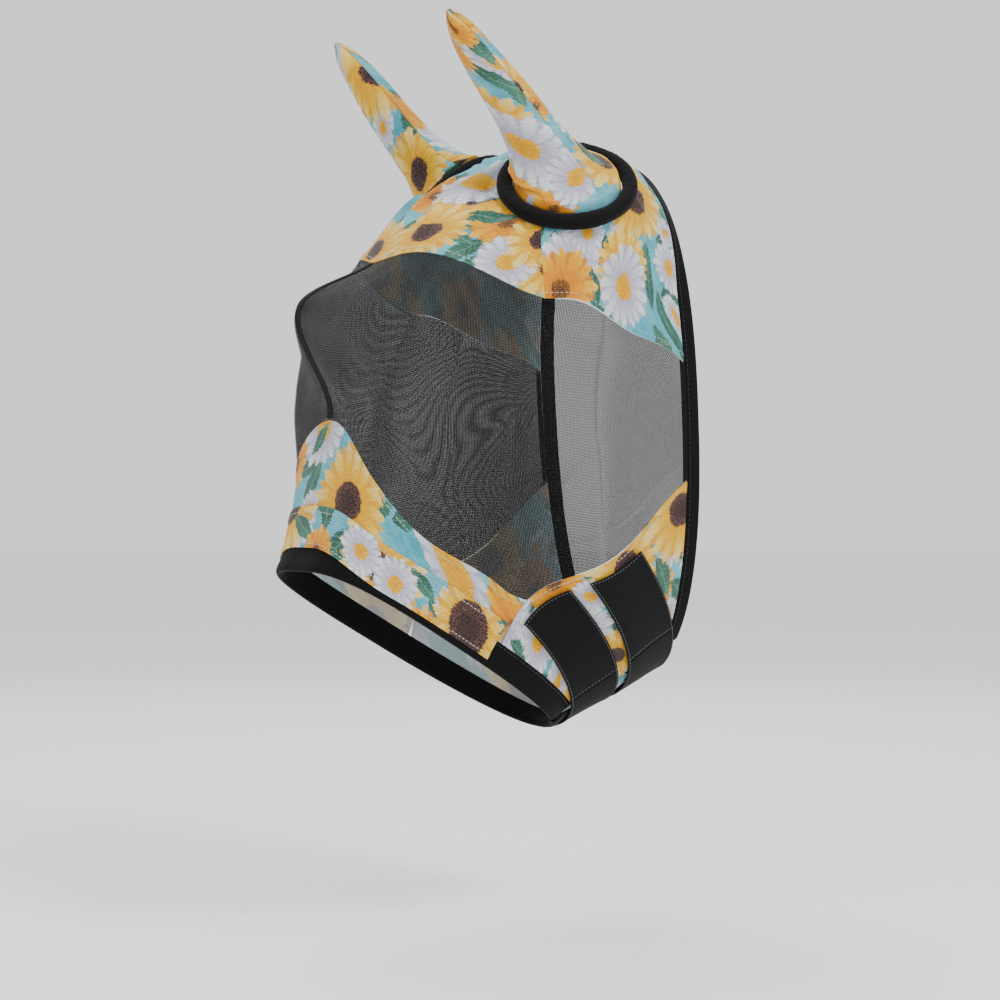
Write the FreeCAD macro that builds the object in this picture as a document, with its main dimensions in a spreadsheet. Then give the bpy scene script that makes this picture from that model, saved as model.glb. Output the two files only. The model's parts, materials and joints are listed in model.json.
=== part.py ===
"""Horse fly mask with ear sleeves, closed under the jaw by two hook-and-loop straps.

Frame: +X to the horse's left, -Y forward along the face, +Z up, millimetres.
The origin is the inside of the crown at the poll, where the horse carries the mask.

Every panel is cut on one head form.  A place on the form is (share, turn, lift): share runs from
0 at the nose edge to 1 at the neck edge, turn is the angle in degrees round the head from the
middle of the face (positive to the left, 180 under the jaw), and lift is the height above the form.
"""
import FreeCAD, Part
import math
import os
import Sketcher

Vector = FreeCAD.Vector

SIZES = (
    ("face_reach", 290.0),         # nose edge ahead of the poll
    ("face_drop", 334.0),          # nose edge below the poll, on the face
    ("jaw_reach", 62.0),           # nose edge ahead of the poll, under the jaw
    ("jaw_drop", 463.0),
    ("throat_set_back", 38.0),     # neck edge behind the poll, at the throat
    ("throat_drop", 419.0),
    ("poll_set_back", 14.0),       # neck edge behind the poll, on top
    ("nose_half_width", 66.0),
    ("bridge_half_width", 72.0),
    ("eye_half_width", 103.0),
    ("cheek_half_width", 107.0),
    ("crown_half_width", 103.0),
    ("neck_half_width", 98.0),
    ("tent_rise", 46.0),           # how far the eye mesh stands off the face at its ridge
    ("tent_half_width", 42.0),
    ("eye_bulge", 10.0),           # extra room beside the ridge for the eyes
    ("cloth", 1.0),                # printed stretch cloth
    ("mesh_gauge", 0.7),
    ("tape_gauge", 0.7),
    ("tape_width", 7.0),
    ("padding", 4.0),              # thickness of the padded nose edge
    ("nose_edge_width", 22.0),
    ("neck_edge_width", 14.0),
    ("neck_edge_gauge", 2.4),
    ("nose_band_width", 33.0),
    ("band_above_front", 19.0),    # lower edge of the nose band above the nose edge, in front
    ("band_above_cheek", 5.0),     # and on the cheeks
    ("band_gauge", 1.2),
    ("webbing", 1.4),              # strap and tab thickness
    ("hook_gauge", 0.8),
    ("loop_gauge", 0.9),
    ("clearance", 0.3),            # between pieces that move on each other
    ("sewn_gap", 0.25),            # between cloth and what is sewn on top of it
    ("front_strap_width", 46.0),
    ("rear_strap_width", 52.0),
    ("strap_inset_cheek", 44.0),   # front strap behind the nose edge, on the cheek
    ("strap_inset_jaw", 3.0),      # and under the jaw
    ("strap_gap_cheek", 15.0),     # between the two straps, on the cheek
    ("strap_gap_jaw", 5.0),
    ("patch_margin", 3.0),         # hook and loop patches inside the edges of the tabs
    ("ear_side", 75.0),            # middle of an ear ring from the mid plane
    ("ear_reach", 90.0),
    ("ear_drop", 37.0),
    ("ring_bore", 43.0),           # radius of the ring's hole
    ("ring_band", 10.5),
    ("ring_height", 8.0),
    ("ear_tip_side", 82.0),
    ("ear_tip_reach", 207.0),
    ("ear_tip_rise", 91.5),
    ("ear_middle_radius", 21.0),   # half-width of an ear sleeve half way up
    ("ear_upper_radius", 16.5),    # and below its tip
    ("ear_skirt", 9.0),            # how far an ear sleeve reaches down inside its ring
    ("ear_rise", 16.0),            # how far it stays round above the ring's middle
)

# Middle line of the face from the nose edge to the top of the head, in shares of reach and drop.
FACE_LINE = (
    (1.0, 1.0), (0.948, 0.847), (0.903, 0.665), (0.859, 0.479), (0.755, 0.278),
    (0.569, 0.111), (0.379, 0.024), (0.155, -0.009),
)

# Seams, as (share, turn) on the left half.
NOSE_SEAM = ((0.231, 0), (0.170, 31), (0.145, 51), (0.135, 70), (0.165, 88), (0.199, 95))
CROWN_HEM = ((0.482, 0), (0.522, 25), (0.555, 42), (0.630, 62))
REAR_HEM = ((0.630, 62), (0.706, 71), (0.860, 79), (1.0, 85))
JAW_SEAM = ((0.0, 98), (0.086, 95.5), (0.199, 95), (0.400, 104), (0.604, 108), (0.893, 102), (1.0, 99))
EAR_PLACE = (0.770, 35)
FLAP_EDGE = 150.0          # where the left jaw panel ends, low on the left of the jaw
FLAP_OPEN = 1.5            # half of the slit between the two jaw panels, in degrees
FRONT_CREASE = 112.0
REAR_CREASE = 128.0
STRAP_SEAM = 172.0
STRAP_SEWN = 18.0          # turn covered by the sewn end of a strap
TAB_TOP = 99.0             # turn from which the straps' insets and gap are counted
TAB_BELOW_SEAM = 3.0       # end of a tab below the upper edge of the jaw panel
EAR_RIM = 2.0              # flat rim of the crown outside an ear ring
EAR_LEVEL = 52.0           # how far the crown is lifted or lowered to lie flat under a ring
EAR_BLEND = 42.0           # width over which the crown falls back to the head form
EAR_FADE = 30.0            # distance from the mid plane in which the crown starts to be lifted
EAR_PULL = (0.28, -0.40, 0.87)  # direction in which an ear pulls the crown up to its ring
ROW_STEPS = 48             # steps in which the form is measured from the nose edge to the neck edge
STEP_SHARE = 0.006         # steps over which the direction of the form is taken
STEP_TURN = 1.5
EAR_FACING = (0.56, -0.37, 0.74)
EAR_UPRIGHT = 6.0          # how far an ear sleeve still rises straight out of its ring
EAR_BEND = 0.45            # share of the ear at which its bend ends
EAR_FLARE = 0.63           # how much of the foot's width is left a little above it
EAR_FOOT = 0.22            # share of a sleeve that is its round foot
EAR_TURNED = 0.65          # share above the foot where the sections have turned to the ear's lean
EAR_SQUEEZE = 0.12         # how much flatter than wide a sleeve is
HOLE_MARGIN = 2.0          # the hole in the crown is this much larger than the ring's own
EAR_SHARES = (0.45, 1.05)  # rows of the form that the ears can pull on
EAR_TURN = 110.0

# Cross-sections of the head: boxy on the face near the nose, rounder towards the neck.
ROUND_SECTION = 2.5        # exponent of a section; 2 is an ellipse
FACE_SQUARER = 1.0
SQUARE_FROM = 0.25         # share at which the face starts to get rounder
SQUARE_OVER = 0.35
JAW_TAPER = 0.20           # narrowing under the jaw at the nose edge
JAW_TAPER_LOSS = 0.12      # how much less of it is left at the neck edge
JAW_LEAD = 1.8             # how fast the jaw line runs back from the nose edge
JAW_LAG = 0.8

# The mesh stands off the face in a ridge on the middle line, with room for an eye on each side.
TENT_FROM = 0.235
TENT_TOP = 0.385
TENT_TO = 0.495
TENT_WAY = (0, -0.985, 0.17)
EYE_SIDE = 70.0
EYE_SIDE_SPREAD = 25.0
EYE_SHARE = 0.27
EYE_SHARE_SPREAD = 0.10
EYE_WAY = (0, -0.97, -0.2)

BAND_CHEEK_TURN = 62.0     # turn at which the nose band has come down to its level on the cheeks
TAPE_INSET = 0.003         # share by which the centre tape stops short of the seams
TAPE_FOOT = 0.014          # share from the top of the nose arch to the lower end of the centre tape
TAPE_END = 2.0             # turn by which the edge tape stops short of the crown
SEAM_GAP = 0.25            # turn between a jaw panel and the cloth that it is sewn to
SEAM_TURN = 120.0          # turn that counts as much as the whole share when a seam is measured


def clamp(value, low=0.0, high=1.0):
    return max(low, min(high, value))


def ease(value):
    value = clamp(value)
    return value * value * (3.0 - 2.0 * value)


def power(value, exponent):
    return math.copysign(abs(value) ** exponent, value)


def curve_through(points):
    """Smooth curve whose parameter is the first number of each point."""
    curve = Part.BSplineCurve()
    places = [Vector(*(list(point) + [0.0])[:3]) for point in points]
    curve.interpolate(Points=places, Parameters=[point[0] for point in points])
    return curve


def seam(points):
    """Smooth seam through places, as a function of 0..1."""
    steps = [math.hypot(b[0] - a[0], (b[1] - a[1]) / SEAM_TURN) for a, b in zip(points, points[1:])]
    marks = [sum(steps[:i]) / sum(steps) for i in range(len(points))]
    marks[-1] = 1.0
    curve = Part.BSplineCurve()
    curve.interpolate(Points=[Vector(p[0] * SEAM_TURN, p[1], 0) for p in points], Parameters=marks)

    def place(along):
        point = curve.value(clamp(along))
        return point.x / SEAM_TURN, point.y
    return place


def straight_seam(points):
    """Seam of straight runs as a function of 0..1, each run an equal part of it."""
    def place(along):
        runs = len(points) - 1
        run = min(int(along * runs), runs - 1)
        way = along * runs - run
        return tuple(a + (b - a) * way for a, b in zip(points[run], points[run + 1]))
    return place


class HeadForm:
    """The head shape that every panel is cut on."""

    def __init__(self, size):
        self.size = size
        self.nose_jaw = Vector(0, -size["jaw_reach"], -size["jaw_drop"])
        self.throat = Vector(0, size["throat_set_back"], -size["throat_drop"])
        line = [Vector(0, -size["face_reach"] * a, -size["face_drop"] * b) for a, b in FACE_LINE]
        line.append(Vector(0, size["poll_set_back"], -3.0))
        self.face = Part.BSplineCurve()
        self.face.interpolate(line)
        self.face_length = self.face.length()
        self.width = curve_through((
            (0.0, size["nose_half_width"]), (0.11, size["bridge_half_width"]),
            (0.25, (size["bridge_half_width"] + size["eye_half_width"]) / 2.0),
            (0.38, size["eye_half_width"]), (0.52, size["cheek_half_width"]),
            (0.78, size["crown_half_width"]), (1.0, size["neck_half_width"])))
        self.face_places = {}
        self.rows = {}
        self.ear_middle = {}
        for side in (1, -1):
            self.ear_middle[side] = Vector(side * size["ear_side"], -size["ear_reach"], -size["ear_drop"])

    def face_at(self, share):
        key = round(share, 6)
        if key not in self.face_places:
            inside = clamp(share)
            parameter = self.face.parameterAtDistance(self.face_length * inside, self.face.FirstParameter)
            point = self.face.value(parameter)
            if share != inside:
                point = point + self.face.tangent(parameter)[0] * (share - inside) * self.face_length
            self.face_places[key] = point
        return self.face_places[key]

    def bare(self, share, turn):
        angle = math.radians(turn)
        inside = clamp(share)
        face = self.face_at(share)
        jaw = self.nose_jaw + (self.throat - self.nose_jaw) * (JAW_LEAD - JAW_LAG * inside) * share
        boxy = ROUND_SECTION
        if math.cos(angle) > 0:
            boxy += FACE_SQUARER * (1.0 - ease((share - SQUARE_FROM) / SQUARE_OVER))
        down = (1.0 - power(math.cos(angle), 2.0 / boxy)) / 2.0
        taper = 1.0 - (JAW_TAPER - JAW_TAPER_LOSS * share) * down ** 2
        side = self.width.value(inside).y * power(math.sin(angle), 2.0 / boxy) * taper
        point = face * (1.0 - down) + jaw * down
        point.x = side
        facing = ease(2.0 * math.cos(angle))
        point = point + Vector(*TENT_WAY) * (facing * self.tent(share, side))
        point = point + Vector(*EYE_WAY) * (facing * self.eye_room(share, side))
        if abs(turn) < EAR_TURN and EAR_SHARES[0] < share < EAR_SHARES[1]:
            point = self.level_for_ear(point)
        return point

    def tent(self, share, side):
        """How far the ridge in the mesh stands off the face."""
        if share < TENT_TOP:
            ridge = ease((share - TENT_FROM) / (TENT_TOP - TENT_FROM))
        else:
            ridge = ease((TENT_TO - share) / (TENT_TO - TENT_TOP))
        return ridge * self.size["tent_rise"] * math.exp(-(side / self.size["tent_half_width"]) ** 2)

    def eye_room(self, share, side):
        """How far the mesh stands off beside the ridge, over an eye."""
        aside = ((abs(side) - EYE_SIDE) / EYE_SIDE_SPREAD) ** 2
        away = ((share - EYE_SHARE) / EYE_SHARE_SPREAD) ** 2
        return self.size["eye_bulge"] * math.exp(-aside - away)

    def level_for_ear(self, point):
        """The crown lies flat under each ear ring."""
        side = 1 if point.x >= 0 else -1
        normal = ear_normal(side)
        offset = self.ear_middle[side] - point
        height = offset.dot(normal)
        radius = (offset - normal * height).Length
        flat = self.size["ring_bore"] + self.size["ring_band"] + EAR_RIM
        near = 1.0 - ease((radius - flat) / EAR_BLEND)
        low = 1.0 - ease((abs(height) - EAR_LEVEL) / EAR_BLEND)
        middle_fade = ease(abs(point.x) / EAR_FADE)
        pull = Vector(side * EAR_PULL[0], EAR_PULL[1], EAR_PULL[2])
        return point + pull * (height / pull.dot(normal) * middle_fade * near * low)

    def at(self, share, turn, lift=0.0):
        along = self.bare(share + STEP_SHARE, turn) - self.bare(share - STEP_SHARE, turn)
        across = self.bare(share, turn + STEP_TURN) - self.bare(share, turn - STEP_TURN)
        return self.bare(share, turn) + across.cross(along).normalize() * lift

    def row(self, turn):
        """Distances from the nose edge to even steps of share, at one turn."""
        key = round(turn, 3)
        if key not in self.rows:
            places = [self.bare(i / ROW_STEPS, turn) for i in range(ROW_STEPS + 1)]
            marks = [0.0]
            for a, b in zip(places, places[1:]):
                marks.append(marks[-1] + (b - a).Length)
            self.rows[key] = marks
        return self.rows[key]

    def share_after(self, turn, distance):
        """Share at a distance behind the nose edge."""
        marks = self.row(turn)
        step = 0
        while step < ROW_STEPS - 1 and marks[step + 1] < distance:
            step += 1
        return (step + (distance - marks[step]) / (marks[step + 1] - marks[step])) / ROW_STEPS

    def distance_at(self, turn, share):
        """Distance behind the nose edge at a share."""
        marks = self.row(turn)
        step = int(clamp(math.floor(share * ROW_STEPS), 0, ROW_STEPS - 1))
        return marks[step] + (marks[step + 1] - marks[step]) * (share * ROW_STEPS - step)

    def pad_height(self, share, turn):
        """Outside of the padded nose edge, which thins to the cloth at its upper edge."""
        way = self.distance_at(turn, share) / self.size["nose_edge_width"]
        cloth = self.size["cloth"]
        return cloth + (self.size["padding"] - cloth) / 2.0 * (1.0 - ease(way))

    def nose_edge(self, turn):
        return self.share_after(turn, self.size["nose_edge_width"])

    def neck_edge(self, turn):
        return self.share_after(turn, self.row(turn)[-1] - self.size["neck_edge_width"])


def ear_normal(side):
    """Direction in which an ear ring faces."""
    return Vector(side * EAR_FACING[0], EAR_FACING[1], EAR_FACING[2]).normalize()


def solid_between(place, across, along):
    """Closed solid between two smooth skins: place(u, v, skin) with u, v and skin from 0 to 1."""
    skins = []
    for skin in (0, 1):
        surface = Part.BSplineSurface()
        surface.interpolate([[place(i / across, j / along, skin) for j in range(along + 1)]
                             for i in range(across + 1)])
        skins.append(surface)
    faces = [surface.toShape() for surface in skins]
    first_u, last_u, first_v, last_v = skins[0].bounds()
    inner_u, outer_u, inner_v, outer_v = skins[1].bounds()
    for low, high in ((first_u, inner_u), (last_u, outer_u)):
        faces.append(Part.makeRuledSurface(skins[0].uIso(low).toShape(), skins[1].uIso(high).toShape()))
    for low, high in ((first_v, inner_v), (last_v, outer_v)):
        faces.append(Part.makeRuledSurface(skins[0].vIso(low).toShape(), skins[1].vIso(high).toShape()))
    shell = Part.makeShell(faces)
    shell.sewShape()
    solid = Part.makeSolid(shell)
    if solid.Volume < 0:
        solid.reverse()
    return solid


def cloth_piece(form, low_edge, high_edge, inner, outer, across=24, along=10):
    """Cloth between two edges: each edge is a function of 0..1 that gives (share, turn).

    inner and outer are lifts, or functions of (share, turn) that give them.
    """
    lifts = [value if callable(value) else (lambda share, turn, held=value: held) for value in (inner, outer)]

    def place(u, v, skin):
        low = low_edge(u)
        high = high_edge(u)
        share = low[0] + (high[0] - low[0]) * v
        turn = low[1] + (high[1] - low[1]) * v
        return form.at(share, turn, lifts[skin](share, turn))
    return solid_between(place, across, along)


def both_halves(edge):
    """An edge of the left half, starting at the middle line, carried over both halves."""
    def place(along):
        share, turn = edge(abs(2.0 * along - 1.0))
        return share, math.copysign(turn, along - 0.5)
    return place


def turns(first, last, share_at):
    """Edge that runs round the form from one turn to another, at the share given for each turn."""
    def place(along):
        turn = first + (last - first) * along
        return share_at(turn), turn
    return place


def crown_pieces(form, size):
    hem = seam(CROWN_HEM)
    cloth = size["cloth"]
    holes = [ear_hole(form, size, side) for side in (1, -1)]
    front_top = turns(-EAR_PLACE[1], EAR_PLACE[1], lambda turn: EAR_PLACE[0])
    front = cloth_piece(form, both_halves(hem), front_top, 0.0, cloth, 40, 16)
    pieces = {"crown_front_panel": front.cut(holes[0]).cut(holes[1])}
    side_seam = straight_seam(((EAR_PLACE[0], 0.0), EAR_PLACE, REAR_HEM[0]))
    last_turn = REAR_HEM[-1][1]
    hem_turn = curve_through(REAR_HEM)
    first_share = REAR_HEM[0][0]
    last_share = form.neck_edge(last_turn)

    def left_place(u, v, skin):
        low = side_seam(u)
        turn = low[1] + (last_turn * u - low[1]) * v
        hem_share = first_share + (last_share - first_share) * v
        straight = REAR_HEM[0][1] + (last_turn - REAR_HEM[0][1]) * v
        turn += (hem_turn.value(hem_share).y - straight) * u ** 3
        share = low[0] + (form.neck_edge(turn) - low[0]) * v
        return form.at(share, turn, cloth * skin)
    left = solid_between(left_place, 32, 24).cut(holes[0])
    pieces["crown_left_panel"] = left
    pieces["crown_right_panel"] = left.mirror(Vector(0, 0, 0), Vector(1, 0, 0))
    return pieces


def ear_hole(form, size, side):
    normal = ear_normal(side)
    middle = form.ear_middle[side]
    reach = 30.0
    radius = size["ring_bore"] + HOLE_MARGIN
    return Part.makeCylinder(radius, 2.0 * reach, middle - normal * reach, normal)


def mesh_piece(form, size):
    """Left half of the eye mesh, from the middle seam to the neck edge."""
    nose = seam(NOSE_SEAM)
    front_hem = seam(CROWN_HEM)
    hem_turn = curve_through(REAR_HEM)
    corner = 0.5

    def edge(front, rear_turn, points, along):
        """The front seam up to the corner, then the rear seam as far as the neck edge."""
        if along <= corner:
            return front(along / corner)
        first = points[0][0]
        share = first + (form.neck_edge(points[-1][1]) - first) * (along - corner) / (1.0 - corner)
        return share, rear_turn(share)
    return cloth_piece(
        form, lambda along: edge(nose, jaw_turn, JAW_SEAM[2:], along),
        lambda along: edge(front_hem, lambda share: hem_turn.value(share).y, REAR_HEM, along),
        0.0, size["mesh_gauge"], 60, 20)


def face_trim(form, size):
    mesh = size["mesh_gauge"]
    tape = size["tape_gauge"]
    half = size["tape_width"] / 2.0
    pieces = {}

    def tape_place(u, v, skin):
        foot = NOSE_SEAM[0][0] + TAPE_FOOT
        share = foot + (CROWN_HEM[0][0] - TAPE_INSET - foot) * v
        spot = form.at(share, 0.0, mesh + size["sewn_gap"] + tape * skin)
        return spot + Vector((2.0 * u - 1.0) * half, 0, 0)
    pieces["mesh_centre_tape"] = solid_between(tape_place, 3, 24)

    def inner_edge(turn):
        inset = size["neck_edge_width"] + size["tape_width"]
        return form.share_after(turn, form.row(turn)[-1] - inset)
    first = REAR_HEM[-1][1] + TAPE_END
    last = JAW_SEAM[-1][1] - TAPE_END / 2.0
    left = cloth_piece(form, turns(first, last, inner_edge), turns(first, last, form.neck_edge),
                       mesh + size["sewn_gap"], mesh + size["sewn_gap"] + tape, 12, 3)
    pieces["mesh_edge_tape_left"] = left
    pieces["mesh_edge_tape_right"] = left.mirror(Vector(0, 0, 0), Vector(1, 0, 0))
    return pieces


def nose_pieces(form, size):
    cloth = size["cloth"]
    seam_end = JAW_SEAM[2][1]
    nose_top = both_halves(seam(NOSE_SEAM))
    low = turns(-seam_end, seam_end, form.nose_edge)
    pieces = {"nose_panel": cloth_piece(form, low, nose_top, 0.0, cloth, 44, 8)}

    def above_edge(turn):
        cheek = ease(abs(turn) / BAND_CHEEK_TURN)
        return size["band_above_front"] + (size["band_above_cheek"] - size["band_above_front"]) * cheek

    def band_low(turn):
        return form.share_after(turn, above_edge(turn))

    def band_high(turn):
        return form.share_after(turn, above_edge(turn) + size["nose_band_width"])

    def band_base(share, turn):
        return form.pad_height(share, turn) + size["sewn_gap"]

    def band_top(share, turn):
        return band_base(share, turn) + size["band_gauge"]
    band_end = seam_end - 1.0
    pieces["nose_band"] = cloth_piece(
        form, turns(-band_end, band_end, band_low), turns(-band_end, band_end, band_high),
        band_base, band_top, 60, 10)
    return pieces


def edge_bindings(form, size):
    """Padded nose edge and bound neck edge, each one strip from flap to flap round the head."""
    first = FLAP_OPEN + FLAP_EDGE - 360.0
    last = FLAP_EDGE - FLAP_OPEN
    inside = (size["cloth"] - size["padding"]) / 2.0
    half_bind = size["neck_edge_gauge"] / 2.0
    middle = size["cloth"] / 2.0
    nose = cloth_piece(form, turns(first, last, lambda turn: 0.0), turns(first, last, form.nose_edge),
                       inside, form.pad_height, 72, 8)
    neck = cloth_piece(form, turns(first, last, form.neck_edge), turns(first, last, lambda turn: 1.0),
                       middle - half_bind, middle + half_bind, 72, 3)
    return {"nose_binding": nose, "neck_binding": neck}


def jaw_pieces(form, size):
    cloth = size["cloth"]

    def share_between(turn, along):
        nose = form.nose_edge(turn)
        return nose + along * (form.neck_edge(turn) - nose)

    def upper(along):
        share = share_between(JAW_SEAM[2][1], along)
        return share, jaw_turn(share)

    def panel(side, last, along):
        def place(u, v, skin):
            first = side * (upper(u)[1] + SEAM_GAP)
            turn = first + (last - first) * v
            return form.at(share_between(turn, u), turn, cloth * skin)
        return solid_between(place, 24, along)
    return {"jaw_panel_left": panel(1, FLAP_EDGE - FLAP_OPEN, 12),
            "jaw_flap_right": panel(-1, FLAP_EDGE + FLAP_OPEN - 360.0, 28)}


def jaw_turn(share):
    """Turn of the upper edge of the jaw panels at a share."""
    return curve_through(JAW_SEAM).value(clamp(share)).y


def strap_share(form, size, which, turn, across, margin):
    """Share of a place part way across a strap, short of both edges by the margin."""
    way = clamp((turn - TAB_TOP) / (180.0 - TAB_TOP))
    front = size["strap_inset_cheek"] + (size["strap_inset_jaw"] - size["strap_inset_cheek"]) * way
    gap = size["strap_gap_cheek"] + (size["strap_gap_jaw"] - size["strap_gap_cheek"]) * way
    start = front if which == "front" else front + size["front_strap_width"] + gap
    width = size[which + "_strap_width"]
    return form.share_after(turn, start + margin + (width - 2.0 * margin) * across)


def tab_end(form, size, which, across, margin):
    """Turn of the upper end of a tab, a little below the upper edge of the jaw panel."""
    turn = TAB_TOP
    for _ in range(6):
        turn = jaw_turn(strap_share(form, size, which, turn, across, margin)) + TAB_BELOW_SEAM
    return turn


def strap_run(form, size, which, first, last, inner, outer, margin=0.0, along=8):
    """Webbing or patch that follows a strap between two turns; last None is the end of the tab."""
    def place(u, v, skin):
        end = tab_end(form, size, which, u, margin) + margin / 2.0 if last is None else last
        turn = first + (end - first) * v
        return form.at(strap_share(form, size, which, turn, u, margin), turn, (inner, outer)[skin])
    return solid_between(place, 8, along)


def strap_pieces(form, size, which, crease):
    """One strap: its sewn end on the right flap, the strap under the jaw and the tab on the cheek."""
    cloth = size["cloth"]
    loop_top = cloth + size["loop_gauge"]
    hook_low = loop_top + size["clearance"]
    tab_low = hook_low + size["hook_gauge"]
    tab_top = tab_low + size["webbing"]
    margin = size["patch_margin"]
    joint = math.degrees(2.0 * size["clearance"] / size["nose_half_width"])
    sewn = (cloth + size["padding"]) / 2.0
    runs = {
        "strap_anchor": (STRAP_SEAM + STRAP_SEWN, STRAP_SEAM + joint, sewn, tab_top, 0.0),
        "strap": (STRAP_SEAM, crease + joint, tab_low, tab_top, 0.0),
        "tab": (crease, None, tab_low, tab_top, 0.0),
        "hook_patch": (crease - 1.0, None, hook_low, tab_low, margin),
        "loop_patch": (crease - 1.0, None, cloth, loop_top, margin),
    }
    return {which + "_" + name: strap_run(form, size, which, *run) for name, run in runs.items()}


def ear_sleeve(form, size, side, panel):
    """One of the two panels of an ear sleeve: outer is the back of the ear, inner the front.

    The foot is part of a ball about the middle of the ring, so that the sleeve tilts in the ring.
    """
    normal = ear_normal(side)
    middle = form.ear_middle[side]
    tip = Vector(side * size["ear_tip_side"], -size["ear_tip_reach"], size["ear_tip_rise"])
    ball = size["ring_bore"] - size["clearance"] - size["cloth"]
    skirt = size["ear_skirt"]
    rise = size["ear_rise"]
    neck = middle + normal * rise
    lean = (tip - middle).normalize()
    bends = (neck, neck + normal * EAR_UPRIGHT, middle + (tip - middle) * EAR_BEND, tip)
    neck_radius = math.sqrt(ball ** 2 - rise ** 2)
    middle_radius = size["ear_middle_radius"]
    upper_radius = size["ear_upper_radius"]
    shape = curve_through((
        (0.0, neck_radius), (0.12, middle_radius + (neck_radius - middle_radius) * EAR_FLARE),
        (0.42, middle_radius), (0.76, upper_radius),
        (0.90, upper_radius * 0.72), (0.965, upper_radius * 0.42), (1.0, size["cloth"])))

    def middle_line(way):
        weights = ((1 - way) ** 3, 3 * way * (1 - way) ** 2, 3 * way ** 2 * (1 - way), way ** 3)
        return sum((spot * weight for spot, weight in zip(bends, weights)), Vector())

    def place(u, v, skin):
        if v < EAR_FOOT:
            height = -skirt + (rise + skirt) * v / EAR_FOOT
            spot = middle + normal * height
            ahead = normal
            radius = math.sqrt(ball ** 2 - height ** 2)
            squeeze = 1.0
        else:
            way = (v - EAR_FOOT) / (1.0 - EAR_FOOT)
            spot = middle_line(way)
            turned = ease(way / EAR_TURNED)
            ahead = (normal * (1.0 - turned) + lean * turned).normalize()
            radius = shape.value(way).y
            squeeze = 1.0 - EAR_SQUEEZE * ease(way / 0.4)
        lateral = Vector(side, 0, 0)
        wide = (lateral - ahead * lateral.dot(ahead)).normalize()
        deep = ahead.cross(wide) * side
        half_turn = 0.0 if panel == "outer" else math.pi
        angle = half_turn + math.pi * u
        thick = radius + size["cloth"] * skin
        return spot + wide * (thick * math.cos(angle)) + deep * (thick * squeeze * math.sin(angle))
    return solid_between(place, 20, 32)


def add_ring(document, form, size, side):
    """Elastic ring round one ear hole, turned about the middle line of the hole."""
    label = "ear_ring_left" if side > 0 else "ear_ring_right"
    body = document.addObject("PartDesign::Body", label)
    body.Label = label
    plane = [item for item in body.Origin.OriginFeatures if item.Role == "XZ_Plane"][0]
    sketch = body.newObject("Sketcher::SketchObject", label + "_section")
    sketch.AttachmentSupport = [(plane, "")]
    sketch.MapMode = "FlatFace"
    bore = size["ring_bore"]
    rim = bore + size["ring_band"]
    top = size["ring_height"]
    corners = [Vector(bore, 0, 0), Vector(rim, 0, 0), Vector(rim, top, 0), Vector(bore, top, 0)]
    for start, end in zip(corners, corners[1:] + corners[:1]):
        sketch.addGeometry(Part.LineSegment(start, end), False)
    for index in range(4):
        sketch.addConstraint(Sketcher.Constraint("Coincident", index, 2, (index + 1) % 4, 1))
    sketch.addConstraint(Sketcher.Constraint("Horizontal", 0))
    sketch.addConstraint(Sketcher.Constraint("Horizontal", 2))
    sketch.addConstraint(Sketcher.Constraint("Vertical", 1))
    sketch.addConstraint(Sketcher.Constraint("Vertical", 3))
    lengths = (
        ("DistanceX", (-1, 1, 0, 1), "ring_bore"), ("DistanceX", (0, 1, 0, 2), "ring_band"),
        ("DistanceY", (1, 1, 1, 2), "ring_height"))
    for kind, ends, cell in lengths:
        number = sketch.addConstraint(Sketcher.Constraint(kind, *ends, size[cell]))
        sketch.setExpression("Constraints[%d]" % number, "sizes." + cell)
    sketch.addConstraint(Sketcher.Constraint("DistanceY", -1, 1, 0, 1, 0.0))
    document.recompute()
    turned = body.newObject("PartDesign::Revolution", label + "_turned")
    turned.Profile = sketch
    turned.ReferenceAxis = (sketch, ["V_Axis"])
    turned.Angle = 360.0
    body.Tip = turned
    normal = ear_normal(side)
    seat = form.ear_middle[side] + normal * size["cloth"]
    body.Placement = FreeCAD.Placement(seat, FreeCAD.Rotation(Vector(0, 0, 1), normal))
    return body


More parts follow.
